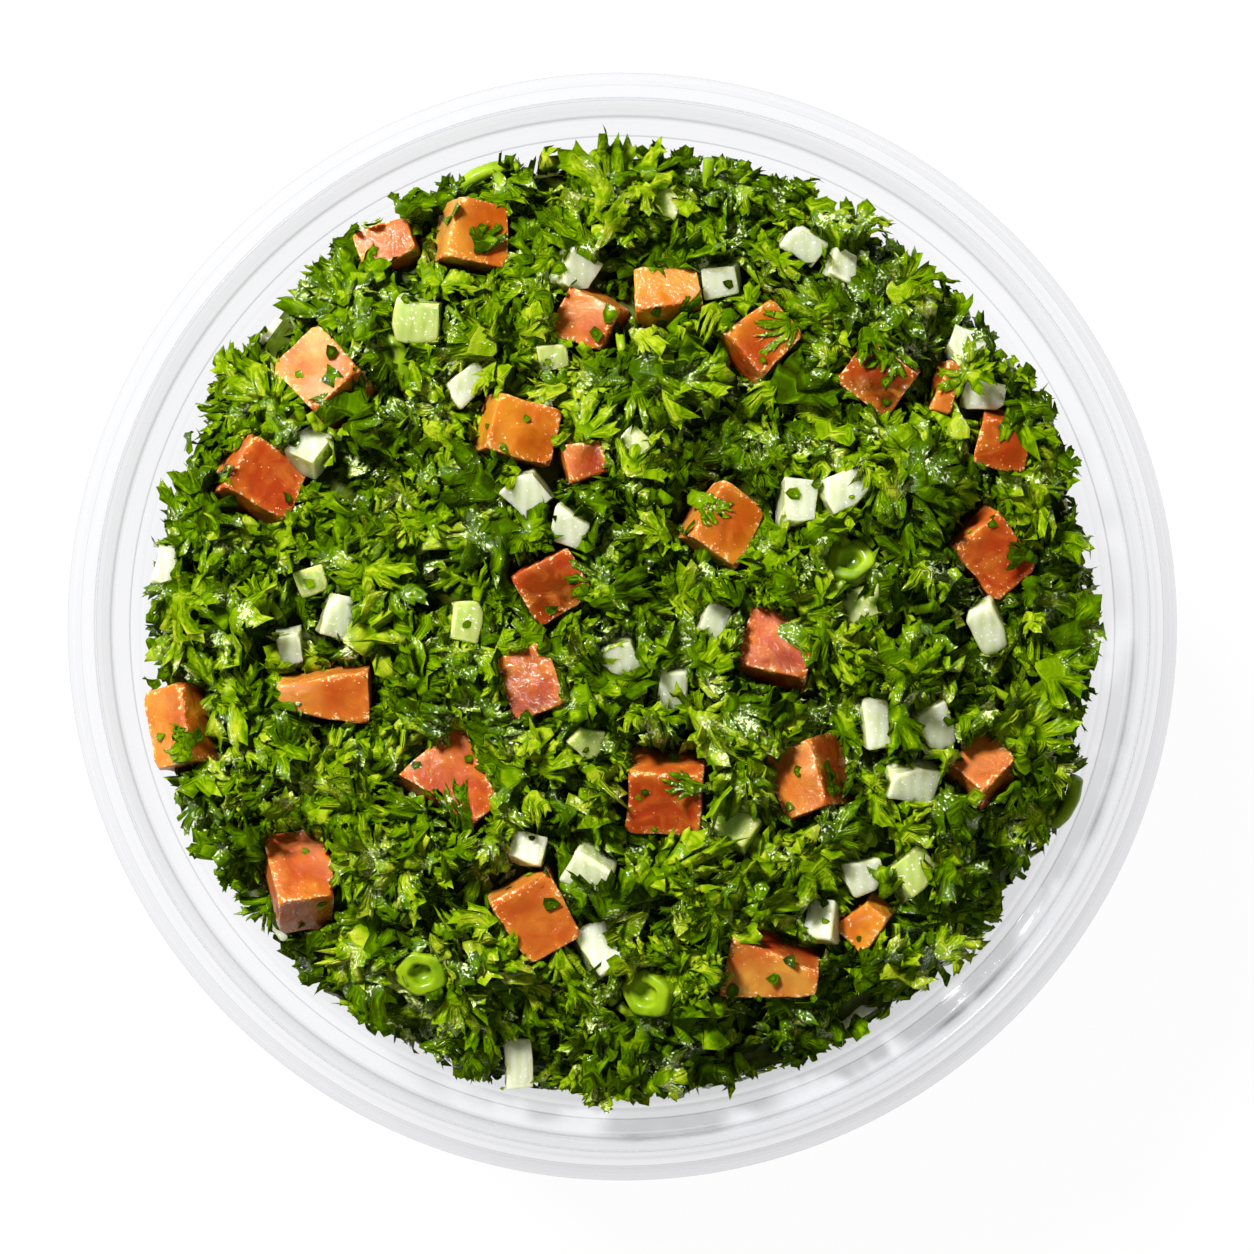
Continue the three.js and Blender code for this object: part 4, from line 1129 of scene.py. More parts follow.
def tuft_parts(draw):
    """Four small leaves that spread from one stalk."""
    parts, bases = [], []
    for k in range(4):
        parts.append(lobed_leaf(draw, 3, draw.uniform(1.4, 2.2), draw.uniform(3.0, 4.6)))
        turn = math.radians(90 * k + draw.uniform(-35, 35))
        bases.append(Euler((math.radians(draw.uniform(0, 38)), 0, turn)).to_matrix().to_4x4())
    return parts, bases


def stalk_bit(draw):
    """A bit of stalk in mm: a bowed rod that lies along Y."""
    length, radius, bow = draw.uniform(2.6, 5.6), draw.uniform(0.35, 0.6), draw.uniform(-0.12, 0.12)
    points, faces = turned([(0, 0), (radius, 0), (radius, length * 0.35), (radius * 0.96, length * 0.7),
                            (radius * 0.9, length), (0, length)], 8)
    spots = [(x, z - length / 2, y + bow * (z - length / 2) ** 2 / length) for x, y, z in points]
    return new_piece("stalk_bit", spots, [face[::-1] for face in faces])


print("a tuft has", len(tuft_parts(random.Random(1))[0]), "leaves")

# %% The pieces on the board
scraps = many("scrap", 16, 10, lambda draw: (
    [lobed_leaf(draw, 2, draw.uniform(1.0, 1.6), draw.uniform(2.2, 3.7))],))
small_leaves = many("small_leaf", 24, 40, lambda draw: (
    [lobed_leaf(draw, draw.choice((3, 4)), draw.uniform(1.7, 2.8), draw.uniform(3.0, 5.0))],))
fronds = many("frond", 16, 70, lambda draw: (
    [lobed_leaf(draw, draw.choice((4, 5)), draw.uniform(2.0, 3.0), draw.uniform(4.4, 6.6))],))
tufts = many("tuft", 12, 90, tuft_parts)
shreds = many("shred", 8, 120, lambda draw: (
    [leaf_part(draw, strip_outline(draw, draw.uniform(0.2, 0.34)), draw.uniform(2.4, 5.0), ruffle=0.06,
               fold=draw.uniform(-0.3, 0.5), roll=draw.uniform(-1.6, 1.0), cup=draw.uniform(-0.8, 0.8))],))
crumbs = many("crumb", 8, 140, lambda draw: (
    [leaf_part(draw, crumb_outline(draw), draw.uniform(0.7, 2.0), ruffle=0.1, fold=0.2,
               roll=draw.uniform(-0.5, 0.5), cup=draw.uniform(-0.5, 0.5), crumple=0.1, thick=0.2)],))
stalk_bits = board("stalk_bits", [stalk_bit(random.Random(160 + i)) for i in range(8)])

# %% [markdown]
# ## Strewing with Geometry Nodes
# Chopped leaves fall on a heap at random, so nobody places them by hand. Geometry Nodes do it:
# spread points over a surface, lift each a little, throw away those that would lie in or under a
# tomato or a dice, and put a random shape on each of the rest with a random turn. The tree has
# named inputs, so the same tree strews every layer.

# %% Inputs of the strewing tree
# Lengths are in metres and angles in radians.
STREW_INPUTS = (
    ("Surface", "Geometry", None), ("Pieces", "Collection", None), ("Toppings", "Object", None),
    ("Material", "Material", None), ("Pieces per square metre", "Float", 1e5), ("Lift low", "Float", 0.0),
    ("Lift high", "Float", 0.001), ("Rise low", "Float", 0.0), ("Rise high", "Float", 1.0),
    ("Roll", "Float", 0.6), ("Size low", "Float", 0.85), ("Size high", "Float", 1.2),
    ("Clearance", "Float", 0.001), ("Share kept over toppings", "Float", 0.1), ("Seed", "Int", 1),
    ("Clump height", "Float", 0.0), ("Clump spacing", "Float", 0.009), ("Share left in hollows", "Float", 1.0),
    ("Tint low", "Float", 0.0), ("Tint high", "Float", 1.0), ("Painted light gained on clumps", "Float", 0.0),
    ("Crowding near toppings", "Float", 1.0),
)
strew_tree = bpy.data.node_groups.new("strew_cut_pieces", "GeometryNodeTree")
for name, kind, default in STREW_INPUTS:
    socket = strew_tree.interface.new_socket(name, in_out="INPUT", socket_type=f"NodeSocket{kind}")
    if default is not None:
        socket.default_value = default
strew_tree.interface.new_socket("Strewn", in_out="OUTPUT", socket_type="NodeSocketGeometry")
given = add_node(strew_tree, "NodeGroupInput").outputs


def chance(low, high, offset):
    """A random number for each point, from its own seed."""
    seed = add_node(strew_tree, "FunctionNodeIntegerMath", {0: given["Seed"], 1: offset}, operation="ADD")
    return add_node(strew_tree, "FunctionNodeRandomValue", {2: low, 3: high, 8: seed.outputs[0]}).outputs[1]


print("the strewing tree has", len(STREW_INPUTS), "named inputs")

# %% [markdown]
# ## Where the points fall
# Chopped leaves cling together in clumps of about 9 mm, so a soft noise says how many points a
# place gets, and a few more fall close to a topping, where leaves are caught.

# %% Points, thicker in clumps
finer = add_node(strew_tree, "ShaderNodeMath", {0: 1.0, 1: given["Clump spacing"]}, operation="DIVIDE")
lumps = add_node(strew_tree, "ShaderNodeTexNoise", {"Scale": finer.outputs[0], "Detail": 1.0})
clump = add_node(strew_tree, "ShaderNodeMapRange", {
    "Value": lumps.outputs[0], "From Min": 0.38, "From Max": 0.60}, interpolation_type="SMOOTHSTEP")
share = add_node(strew_tree, "ShaderNodeMapRange", {
    "Value": clump.outputs[0], "To Min": given["Share left in hollows"], "To Max": 1.0})
density = add_node(strew_tree, "ShaderNodeMath", {
    0: given["Pieces per square metre"], 1: share.outputs[0]}, operation="MULTIPLY")
topping = add_node(strew_tree, "GeometryNodeObjectInfo", {"Object": given["Toppings"]}, transform_space="RELATIVE")
near = add_node(strew_tree, "GeometryNodeProximity", {"Geometry": topping.outputs["Geometry"]})
crowd = add_node(strew_tree, "ShaderNodeMapRange", {
    "Value": near.outputs["Distance"], "From Min": 0.001, "From Max": 0.004,
    "To Min": given["Crowding near toppings"], "To Max": 1.0})
crowded = add_node(strew_tree, "ShaderNodeMath", {0: density.outputs[0], 1: crowd.outputs[0]}, operation="MULTIPLY")
spread = add_node(strew_tree, "GeometryNodeDistributePointsOnFaces", {
    "Mesh": given["Surface"], "Density": crowded.outputs[0], "Seed": given["Seed"]})
print("so far", len(strew_tree.nodes), "nodes")

# %% [markdown]
# ## Lift and tint
# Each point is lifted a little by chance and more on a clump. It also draws a tint, which later
# picks its green, and its facing is stored, because later nodes would lose it. A point on a clump
# draws a lighter tint, which is painted light, and the bed, which lies deepest, draws only darker
# ones, which is painted shade.

# %% Lift and tint of a point
height = add_node(strew_tree, "ShaderNodeMath", {
    0: clump.outputs[0], 1: given["Clump height"], 2: chance(given["Lift low"], given["Lift high"], 1)},
    operation="MULTIPLY_ADD")
lift = add_node(strew_tree, "ShaderNodeVectorMath", {
    0: spread.outputs["Normal"], "Scale": height.outputs[0]}, operation="SCALE")
# Painted light and shade: a point on a clump draws a lighter tint, one in a hollow a darker one.
tint = add_node(strew_tree, "ShaderNodeMath", {
    0: clump.outputs[0], 1: given["Painted light gained on clumps"], 2: chance(given["Tint low"], given["Tint high"], 7)},
    operation="MULTIPLY_ADD")
tinted = add_node(strew_tree, "GeometryNodeStoreNamedAttribute", {
    "Geometry": spread.outputs["Points"], "Name": "tint", "Value": tint.outputs[0]},
    data_type="FLOAT", domain="POINT")
kept_turn = add_node(strew_tree, "GeometryNodeStoreNamedAttribute", {
    "Geometry": tinted.outputs[0], "Name": "facing", "Value": spread.outputs["Rotation"]},
    data_type="QUATERNION", domain="POINT")
lifted = add_node(strew_tree, "GeometryNodeSetPosition", {
    "Geometry": kept_turn.outputs[0], "Offset": lift.outputs[0]})
print("so far", len(strew_tree.nodes), "nodes")

# %% [markdown]
# ## Keeping the toppings free
# A ray straight up from a point tells whether it lies under a topping, and a ray down whether it
# lies over one. What is under one goes, and what is over or close to one goes but for a share.

# %% Points that are in the way
above = add_node(strew_tree, "GeometryNodeRaycast", {
    "Target Geometry": topping.outputs["Geometry"], "Ray Direction": (0, 0, 1), "Ray Length": 0.03})
below = add_node(strew_tree, "GeometryNodeRaycast", {
    "Target Geometry": topping.outputs["Geometry"], "Ray Direction": (0, 0, -1), "Ray Length": 0.02})
too_near = add_node(strew_tree, "FunctionNodeCompare", {
    0: near.outputs["Distance"], 1: given["Clearance"]}, operation="LESS_THAN", data_type="FLOAT")
dropped = add_node(strew_tree, "FunctionNodeCompare", {
    0: chance(0.0, 1.0, 2), 1: given["Share kept over toppings"]}, operation="GREATER_THAN", data_type="FLOAT")
close_or_over = add_node(strew_tree, "FunctionNodeBooleanMath", {
    0: below.outputs["Is Hit"], 1: too_near.outputs[0]}, operation="OR")
thinned = add_node(strew_tree, "FunctionNodeBooleanMath", {
    0: close_or_over.outputs[0], 1: dropped.outputs[0]}, operation="AND")
unwanted = add_node(strew_tree, "FunctionNodeBooleanMath", {
    0: above.outputs["Is Hit"], 1: thinned.outputs[0]}, operation="OR")
cleared = add_node(strew_tree, "GeometryNodeDeleteGeometry", {
    "Geometry": lifted.outputs[0], "Selection": unwanted.outputs[0]}, domain="POINT")
print("so far", len(strew_tree.nodes), "nodes")

# %% [markdown]
# ## A shape for each point
# Every point left gets a shape from the collection, with a random turn and size. Realize Instances
# makes real triangles of them, because the export drops instances.

# %% Random turns and shapes
minus_roll = add_node(strew_tree, "ShaderNodeMath", {0: given["Roll"], 1: -1.0}, operation="MULTIPLY")
angles = add_node(strew_tree, "ShaderNodeCombineXYZ", {
    0: chance(given["Rise low"], given["Rise high"], 3), 1: chance(minus_roll.outputs[0], given["Roll"], 4),
    2: chance(0.0, 2 * math.pi, 5)})
turn = add_node(strew_tree, "FunctionNodeEulerToRotation", {0: angles.outputs[0]})
facing = add_node(strew_tree, "GeometryNodeInputNamedAttribute", {"Name": "facing"}, data_type="QUATERNION")
turned_piece = add_node(strew_tree, "FunctionNodeRotateRotation", {
    0: facing.outputs[0], 1: turn.outputs[0]}, rotation_space="LOCAL")
shapes = add_node(strew_tree, "GeometryNodeCollectionInfo", {
    "Collection": given["Pieces"], "Separate Children": True, "Reset Children": True})
placed = add_node(strew_tree, "GeometryNodeInstanceOnPoints", {
    "Points": cleared.outputs[0], "Instance": shapes.outputs[0], "Pick Instance": True,
    "Rotation": turned_piece.outputs[0], "Scale": chance(given["Size low"], given["Size high"], 6)})
real = add_node(strew_tree, "GeometryNodeRealizeInstances", {"Geometry": placed.outputs[0]})
finish = add_node(strew_tree, "GeometryNodeSetMaterial", {
    "Geometry": real.outputs[0], "Material": given["Material"]})
add_node(strew_tree, "NodeGroupOutput", {0: finish.outputs[0]})
print("the strewing tree has", len(strew_tree.nodes), "nodes")

# %% [markdown]
# ## Running the tree
# A modifier runs the tree on a surface. Its inputs are set by their identifiers before the object
# is first evaluated, the result is taken out as a plain mesh, and the modifier goes again. What
# then sticks out past the heap's edge is bent back, as the tub's wall does with real leaves.

# %% Running the tree
HELD_FROM, HELD_TO = 49.2, 52.2  # radii in mm between which leaves are bent back


def strewn(name, surface, inputs):
    """Runs the tree on a surface with its named inputs set, and returns a plain mesh piece."""
    modifier = surface.modifiers.new("strew", "NODES")
    modifier.node_group = strew_tree
    for socket in strew_tree.interface.items_tree:
        if socket.in_out == "INPUT" and socket.name in inputs:
            modifier[socket.identifier] = inputs[socket.name]
    bpy.context.view_layer.update()
    evaluated = surface.evaluated_get(bpy.context.evaluated_depsgraph_get())
    mesh = bpy.data.meshes.new_from_object(evaluated)
    surface.modifiers.remove(modifier)
    mesh.name = name
    mesh.attributes.remove(mesh.attributes["facing"])
    piece = bpy.data.objects.new(name, mesh)
    bpy.context.scene.collection.objects.link(piece)
    return piece


def places_of(piece):
    """The points of a piece as an array of rows."""
    spots = np.empty(len(piece.data.vertices) * 3)
    piece.data.vertices.foreach_get("co", spots)
    return spots.reshape(-1, 3)


def held_in(piece):
    """Bends back what sticks out past the heap's edge."""
    spots = places_of(piece)
    radius = np.hypot(spots[:, 0], spots[:, 1])
    start, room = HELD_FROM * MM, (HELD_TO - HELD_FROM) * MM
    past = np.maximum(radius - start, 0)
    held = np.where(past > 0, start + room * (1 - np.exp(-past / room)), radius)
    spots[:, :2] *= (held / np.maximum(radius, 1e-9))[:, None]
    piece.data.vertices.foreach_set("co", spots.ravel())
    piece.data.update()


print("leaves are bent back from a radius of", HELD_FROM, "mm")

# %% [markdown]
# ## Leaves and what they touch
# A strewn leaf may reach into a tomato, and real ones don't: most are tucked under its edge, and a
# few lie over it. So each point that comes over a topping is moved down below the top of it, or for
# a few leaves up onto it. A BVH tree answers thousands of rays fast, and the tint, which is
# different on each leaf, tells which points belong together.

# %% Settling leaves round the toppings
LAID_GAP = 0.3  # how far over a topping a leaf lies, in mm
TUCKED = 0.8  # how far under the top of it the others are moved, in mm
MOSTLY_OVER = 0.55  # a leaf with more than this share of its points over toppings is taken away
ABOVE_ALL = 0.08  # a height in metres from which the rays start


def settled(piece, skins, laid_over, seed):
    """Tucks leaves under the toppings that they reach, and lays a share of them over."""
    spots = places_of(piece)
    tops = np.full(len(spots), np.nan)
    for i, (x, y, _) in enumerate(spots):
        skin = skins.ray_cast(Vector((x, y, ABOVE_ALL)), Vector((0, 0, -1)))[0]
        if skin is not None:
            tops[i] = skin.z
    tint = np.empty(len(spots))
    piece.data.attributes["tint"].data.foreach_get("value", tint)
    _, leaf_of, points_in = np.unique(tint, return_inverse=True, return_counts=True)
    over = ~np.isnan(tops)
    share_over = np.bincount(leaf_of, over) / points_in
    laid = np.random.default_rng(seed).random(len(points_in)) < laid_over
    gone = ~laid & (share_over > MOSTLY_OVER)
    lying = over & laid[leaf_of]
    rest = tops + LAID_GAP * MM
    sunk = tops + LAID_GAP * MM * (0.5 + 0.5 * np.exp(np.minimum(np.nan_to_num(spots[:, 2] - rest), 0) / MM))
    spots[:, 2] = np.where(lying & (spots[:, 2] < rest), sunk, spots[:, 2])
    spots[:, 2] = np.where(over & ~lying, np.fmin(spots[:, 2], tops - TUCKED * MM), spots[:, 2])
    piece.data.vertices.foreach_set("co", spots.ravel())
    unwanted = np.flatnonzero(gone[leaf_of])
    if len(unwanted):
        bm = bmesh.new()
        bm.from_mesh(piece.data)
        bm.verts.ensure_lookup_table()
        bmesh.ops.delete(bm, geom=[bm.verts[i] for i in unwanted], context="VERTS")
        bm.to_mesh(piece.data)
        bm.free()
    piece.data.update()
    print(piece.name, triangles_in(piece), "triangles in", int((~gone).sum()), "leaves,", int(gone.sum()), "taken away")


print("tucked leaves lie", TUCKED, "mm under a topping's top")

# %% [markdown]
# ## Wet curly parsley
# Fresh parsley is a saturated green with hardly any blue. A leaf is thin, so light also comes
# through from behind as a brighter yellow-green, which a Translucent shader mixed in gives. Its
# surface is waxy and here wet with dressing. The veins are grooves a few tenths of a millimetre
# apart that run outwards, drawn from the two numbers stored on each leaf: how far a point is from
# the nearest rib, and how far from the stalk.

# %% Ribs and veins of a leaf
wet_parsley, tree, output = new_material("parsley_curly_chopped_wet")
coords = add_node(tree, "ShaderNodeTexCoord")
leaf = add_node(tree, "ShaderNodeUVMap", uv_map="UVMap")
place = add_node(tree, "ShaderNodeSeparateXYZ", {0: leaf.outputs["UV"]})
tint = add_node(tree, "ShaderNodeAttribute", attribute_name="tint")
rim = add_node(tree, "ShaderNodeAttribute", attribute_name="rim")
own = add_node(tree, "ShaderNodeMath", {0: tint.outputs["Fac"], 1: 37.0}, operation="MULTIPLY")
across = add_node(tree, "ShaderNodeMath", {0: place.outputs["X"], 1: 3.4}, operation="MULTIPLY")
along = add_node(tree, "ShaderNodeMath", {0: place.outputs["Y"], 1: 9.0}, operation="MULTIPLY")
on_leaf = add_node(tree, "ShaderNodeCombineXYZ", {0: across.outputs[0], 1: along.outputs[0], 2: own.outputs[0]})
ribs = add_node(tree, "ShaderNodeTexNoise", {"Vector": on_leaf.outputs[0], "Scale": 1.0, "Detail": 2.0})
midrib = add_node(tree, "ShaderNodeMapRange", {
    "Value": place.outputs["X"], "From Max": 0.2, "To Min": -0.35, "To Max": 0.0}, interpolation_type="SMOOTHSTEP")
veins = add_node(tree, "ShaderNodeMath", {0: ribs.outputs["Fac"], 1: midrib.outputs[0]}, operation="ADD")
beads = add_node(tree, "ShaderNodeTexNoise", {"Vector": coords.outputs["Object"], "Scale": 2800.0, "Detail": 2.0})
quilted = add_node(tree, "ShaderNodeMath", {0: beads.outputs["Fac"], 1: 0.5, 2: veins.outputs[0]},
                   operation="MULTIPLY_ADD")
bump = add_node(tree, "ShaderNodeBump", {"Height": quilted.outputs[0], "Strength": 0.9, "Distance": 0.00028})
wet = add_node(tree, "ShaderNodeBump", {
    "Height": beads.outputs["Fac"], "Strength": 1.0, "Distance": 0.00025, "Normal": bump.outputs["Normal"]})
print("veins made of", len(tree.nodes), "nodes")

# %% [markdown]
# ## The green of a leaf
# Each leaf draws one place in a row of five greens from deep to bright, by its tint, and the tint
# carries painted shade and light: the deepest layer and the hollows get darker greens, the clumps
# lighter ones. Within it the ribs are lighter, the margin is darker and patches of 3 mm drift to
# either side.

# %% Greens of a leaf
LEAF_GREENS = ("#242a00", "#324800", "#4a6c00", "#769404", "#aab628")
LIGHT_THROUGH = "#90a604"

patch = add_node(tree, "ShaderNodeTexNoise", {"Vector": coords.outputs["Object"], "Scale": 300.0, "Detail": 3.0})
spread = add_node(tree, "ShaderNodeMath", {0: patch.outputs["Fac"], 1: 0.8, 2: tint.outputs["Fac"]},
                  operation="MULTIPLY_ADD")
streaks = add_node(tree, "ShaderNodeMath", {0: ribs.outputs["Fac"], 1: 1.8, 2: spread.outputs[0]},
                   operation="MULTIPLY_ADD")
margin = add_node(tree, "ShaderNodeMath", {0: rim.outputs["Fac"], 1: -0.15, 2: streaks.outputs[0]},
                  operation="MULTIPLY_ADD")
lighter = add_node(tree, "ShaderNodeMath", {0: place.outputs["X"], 1: -0.3, 2: margin.outputs[0]},
                   operation="MULTIPLY_ADD")
share = add_node(tree, "ShaderNodeMapRange", {"Value": lighter.outputs[0], "From Min": 0.8, "From Max": 2.3})
green = add_node(tree, "ShaderNodeValToRGB", {"Fac": share.outputs[0]})
while len(green.color_ramp.elements) < len(LEAF_GREENS):
    green.color_ramp.elements.new(0.5)
for k, (element, colour) in enumerate(zip(green.color_ramp.elements, LEAF_GREENS)):
    element.position, element.color = k / (len(LEAF_GREENS) - 1), linear(colour)
glow = add_node(tree, "ShaderNodeMix", {0: share.outputs[0], 6: linear(LEAF_GREENS[-2]), 7: linear(LIGHT_THROUGH)},
                data_type="RGBA")
print("greens picked from a row of", len(LEAF_GREENS))

# %% [markdown]
# ## Wet leaf surface
# The dressing stands on the leaf in patches. There a clear coat is laid over the waxy surface, and
# beads of 0.36 mm roughen it so that it catches the light. Where the beads cluster, pale points are
# painted into the green as painted glints. The light that comes through from behind is about a
# fifth of what the eye gets.

# %% Wet surface of a leaf, with painted glints
SHARE_FROM_BEHIND = 0.22

# Painted glints: pale points where beads cluster on wet patches.
glint_mask = add_node(tree, "ShaderNodeMath", {0: patch.outputs["Fac"], 1: 1.2, 2: beads.outputs["Fac"]},
                   operation="MULTIPLY_ADD")
painted_glint = add_node(tree, "ShaderNodeMapRange", {
    "Value": glint_mask.outputs[0], "From Min": 1.32, "From Max": 1.38, "To Max": 0.75})
painted_glint_green = add_node(tree, "ShaderNodeMix", {0: painted_glint.outputs[0], 6: green.outputs["Color"], 7: linear("#eef6b6")},
                   data_type="RGBA")
damp = add_node(tree, "ShaderNodeMapRange", {
    "Value": patch.outputs["Fac"], "From Min": 0.52, "From Max": 0.62, "To Min": 0.0, "To Max": 1.0})
surface = add_node(tree, "ShaderNodeBsdfPrincipled", {
    "Base Color": painted_glint_green.outputs[2], "Roughness": 0.6, "IOR": 1.42, "Specular IOR Level": 0.0,
    "Coat Weight": damp.outputs[0], "Coat Roughness": 0.05, "Coat IOR": 1.7, "Normal": bump.outputs["Normal"],
    "Coat Normal": wet.outputs["Normal"]})
behind = add_node(tree, "ShaderNodeBsdfTranslucent", {
    "Color": glow.outputs[2], "Normal": bump.outputs["Normal"]})
mix = add_node(tree, "ShaderNodeMixShader", {0: SHARE_FROM_BEHIND, 1: surface.outputs[0], 2: behind.outputs[0]})
tree.links.new(mix.outputs[0], output.inputs["Surface"])
print("leaf material", wet_parsley.name)

# %% [markdown]
# ## Strewing the heap
# First the toppings are joined into one hidden shape, so that the leaves can tell where they lie.
# Then the layers go on from the inside out: scraps bedded in the heap and round its edge, small
# leaves and tufts that stand out of it, fronds on top, and shreds over everything. The upper
# layers keep further in from the wall, so that the heap's edge rolls off.

# %% Toppings and surfaces to strew on
toppings = tomatoes + onions + cucumbers + rings + stems


def joined_shape(name, pieces):
    """The meshes of some pieces as one hidden shape."""
    bm = bmesh.new()
    for piece in pieces:
        bm.from_mesh(piece.data)
    mesh = bpy.data.meshes.new(name)
    bm.to_mesh(mesh)
    bm.free()
    shape = bpy.data.objects.new(name, mesh)
    bpy.context.scene.collection.objects.link(shape)
    return shape


toppings_shape = joined_shape("toppings_shape", toppings)
skins = BVHTree.FromPolygons([v.co for v in toppings_shape.data.vertices],
                             [list(f.vertices) for f in toppings_shape.data.polygons])
dome = dome_surface("dome", 40, 120, 0.975)
crown = dome_surface("crown", 40, 120, 0.935)
inner_crown = dome_surface("inner_crown", 40, 120, 0.89)
brow = dome_surface("brow", 12, 120, 0.985, 0.9)
print("toppings", len(toppings), "pieces,", triangles_in(toppings_shape), "triangles")

# %% Layers of parsley
DEEP_LAYERS = 3  # the first layers lie too deep for a leaf to reach over a topping
LAID_OVER = 0.07  # share of the leaves in the others that may lie over one
NEAR_TOPPINGS = 1.1  # how much thicker leaves fall within 4 mm of a topping

LAYERS = [
    # name, surface, shapes, pieces per square mm, lift low and high in mm, rise low and high in
    # degrees, roll, clearance in mm, share kept over toppings, clump height in mm, share in hollows,
    # tint low and high (kept low in the bed as painted shade), and the painted light gained on clumps
    ("parsley_bed", dome, scraps, 0.25, -0.8, 0.0, -5, 30, 35, 0.0, 0.0, 0.0, 1.0, 0.0, 0.5, 0.05),
    ("parsley_edge", brow, scraps, 0.45, -0.4, 0.6, -10, 35, 35, 0.0, 0.0, 0.0, 0.9, 0.1, 0.9, 0.1),
    ("parsley_low_leaves", crown, small_leaves, 0.18, -0.2, 0.6, 0, 40, 40, 0.0, 0.0, 1.4, 0.7, 0.0, 0.8, 0.1),
    ("parsley_tufts", crown, tufts, 0.045, 0.3, 1.2, -5, 25, 28, 0.0, 0.0, 2.8, 0.35, 0.0, 0.85, 0.1),
    ("parsley_upper_leaves", crown, small_leaves, 0.16, 0.6, 1.8, 0, 45, 40, 0.2, 0.02, 3.4, 0.35, 0.05, 0.95, 0.1),
    ("parsley_fronds", inner_crown, fronds, 0.055, 0.8, 2.2, 0, 35, 30, 0.3, 0.02, 3.6, 0.3, 0.1, 0.9, 0.1),
    ("parsley_shreds", crown, shreds, 0.03, 0.8, 2.2, -20, 30, 60, 0.2, 0.03, 2.4, 0.6, 0.1, 1.0, 0.1),
]
parsley = []


def strewn_layer(seed, material, laid_over, row):
    """One layer of cut pieces, held in at the rim and settled round the toppings."""
    name, ground, shapes, density, low, high, rise_low, rise_high, roll, clear, kept, clump, hollow, *tints = row
    piece = strewn(name, ground, {
        "Pieces": shapes, "Toppings": toppings_shape, "Material": material, "Pieces per square metre": density * 1e6,
        "Lift low": low * MM, "Lift high": high * MM, "Rise low": math.radians(rise_low),
        "Rise high": math.radians(rise_high), "Roll": math.radians(roll), "Clearance": clear * MM,
        "Share kept over toppings": kept, "Clump height": clump * MM, "Share left in hollows": hollow, "Seed": seed,
        "Crowding near toppings": NEAR_TOPPINGS, "Tint low": tints[0], "Tint high": tints[1],
        "Painted light gained on clumps": tints[2],
    })
    held_in(piece)
    settled(piece, skins, laid_over, seed)
    return piece


for seed, row in enumerate(LAYERS, 1):
    parsley.append(strewn_layer(seed, wet_parsley, 0.0 if seed <= DEEP_LAYERS else LAID_OVER, row))
print(sum(map(triangles_in, parsley)), "triangles of parsley on the dome")

# %% [markdown]
# ## Leaves that stand out
# A scatter alone looks even all over. Some leaves make the look of this heap: the fan at its top,
# tips that reach past its edge, and sprigs that lie over the tomatoes. They are placed one by one,
# and they have four times the triangles, because each is seen as a whole.

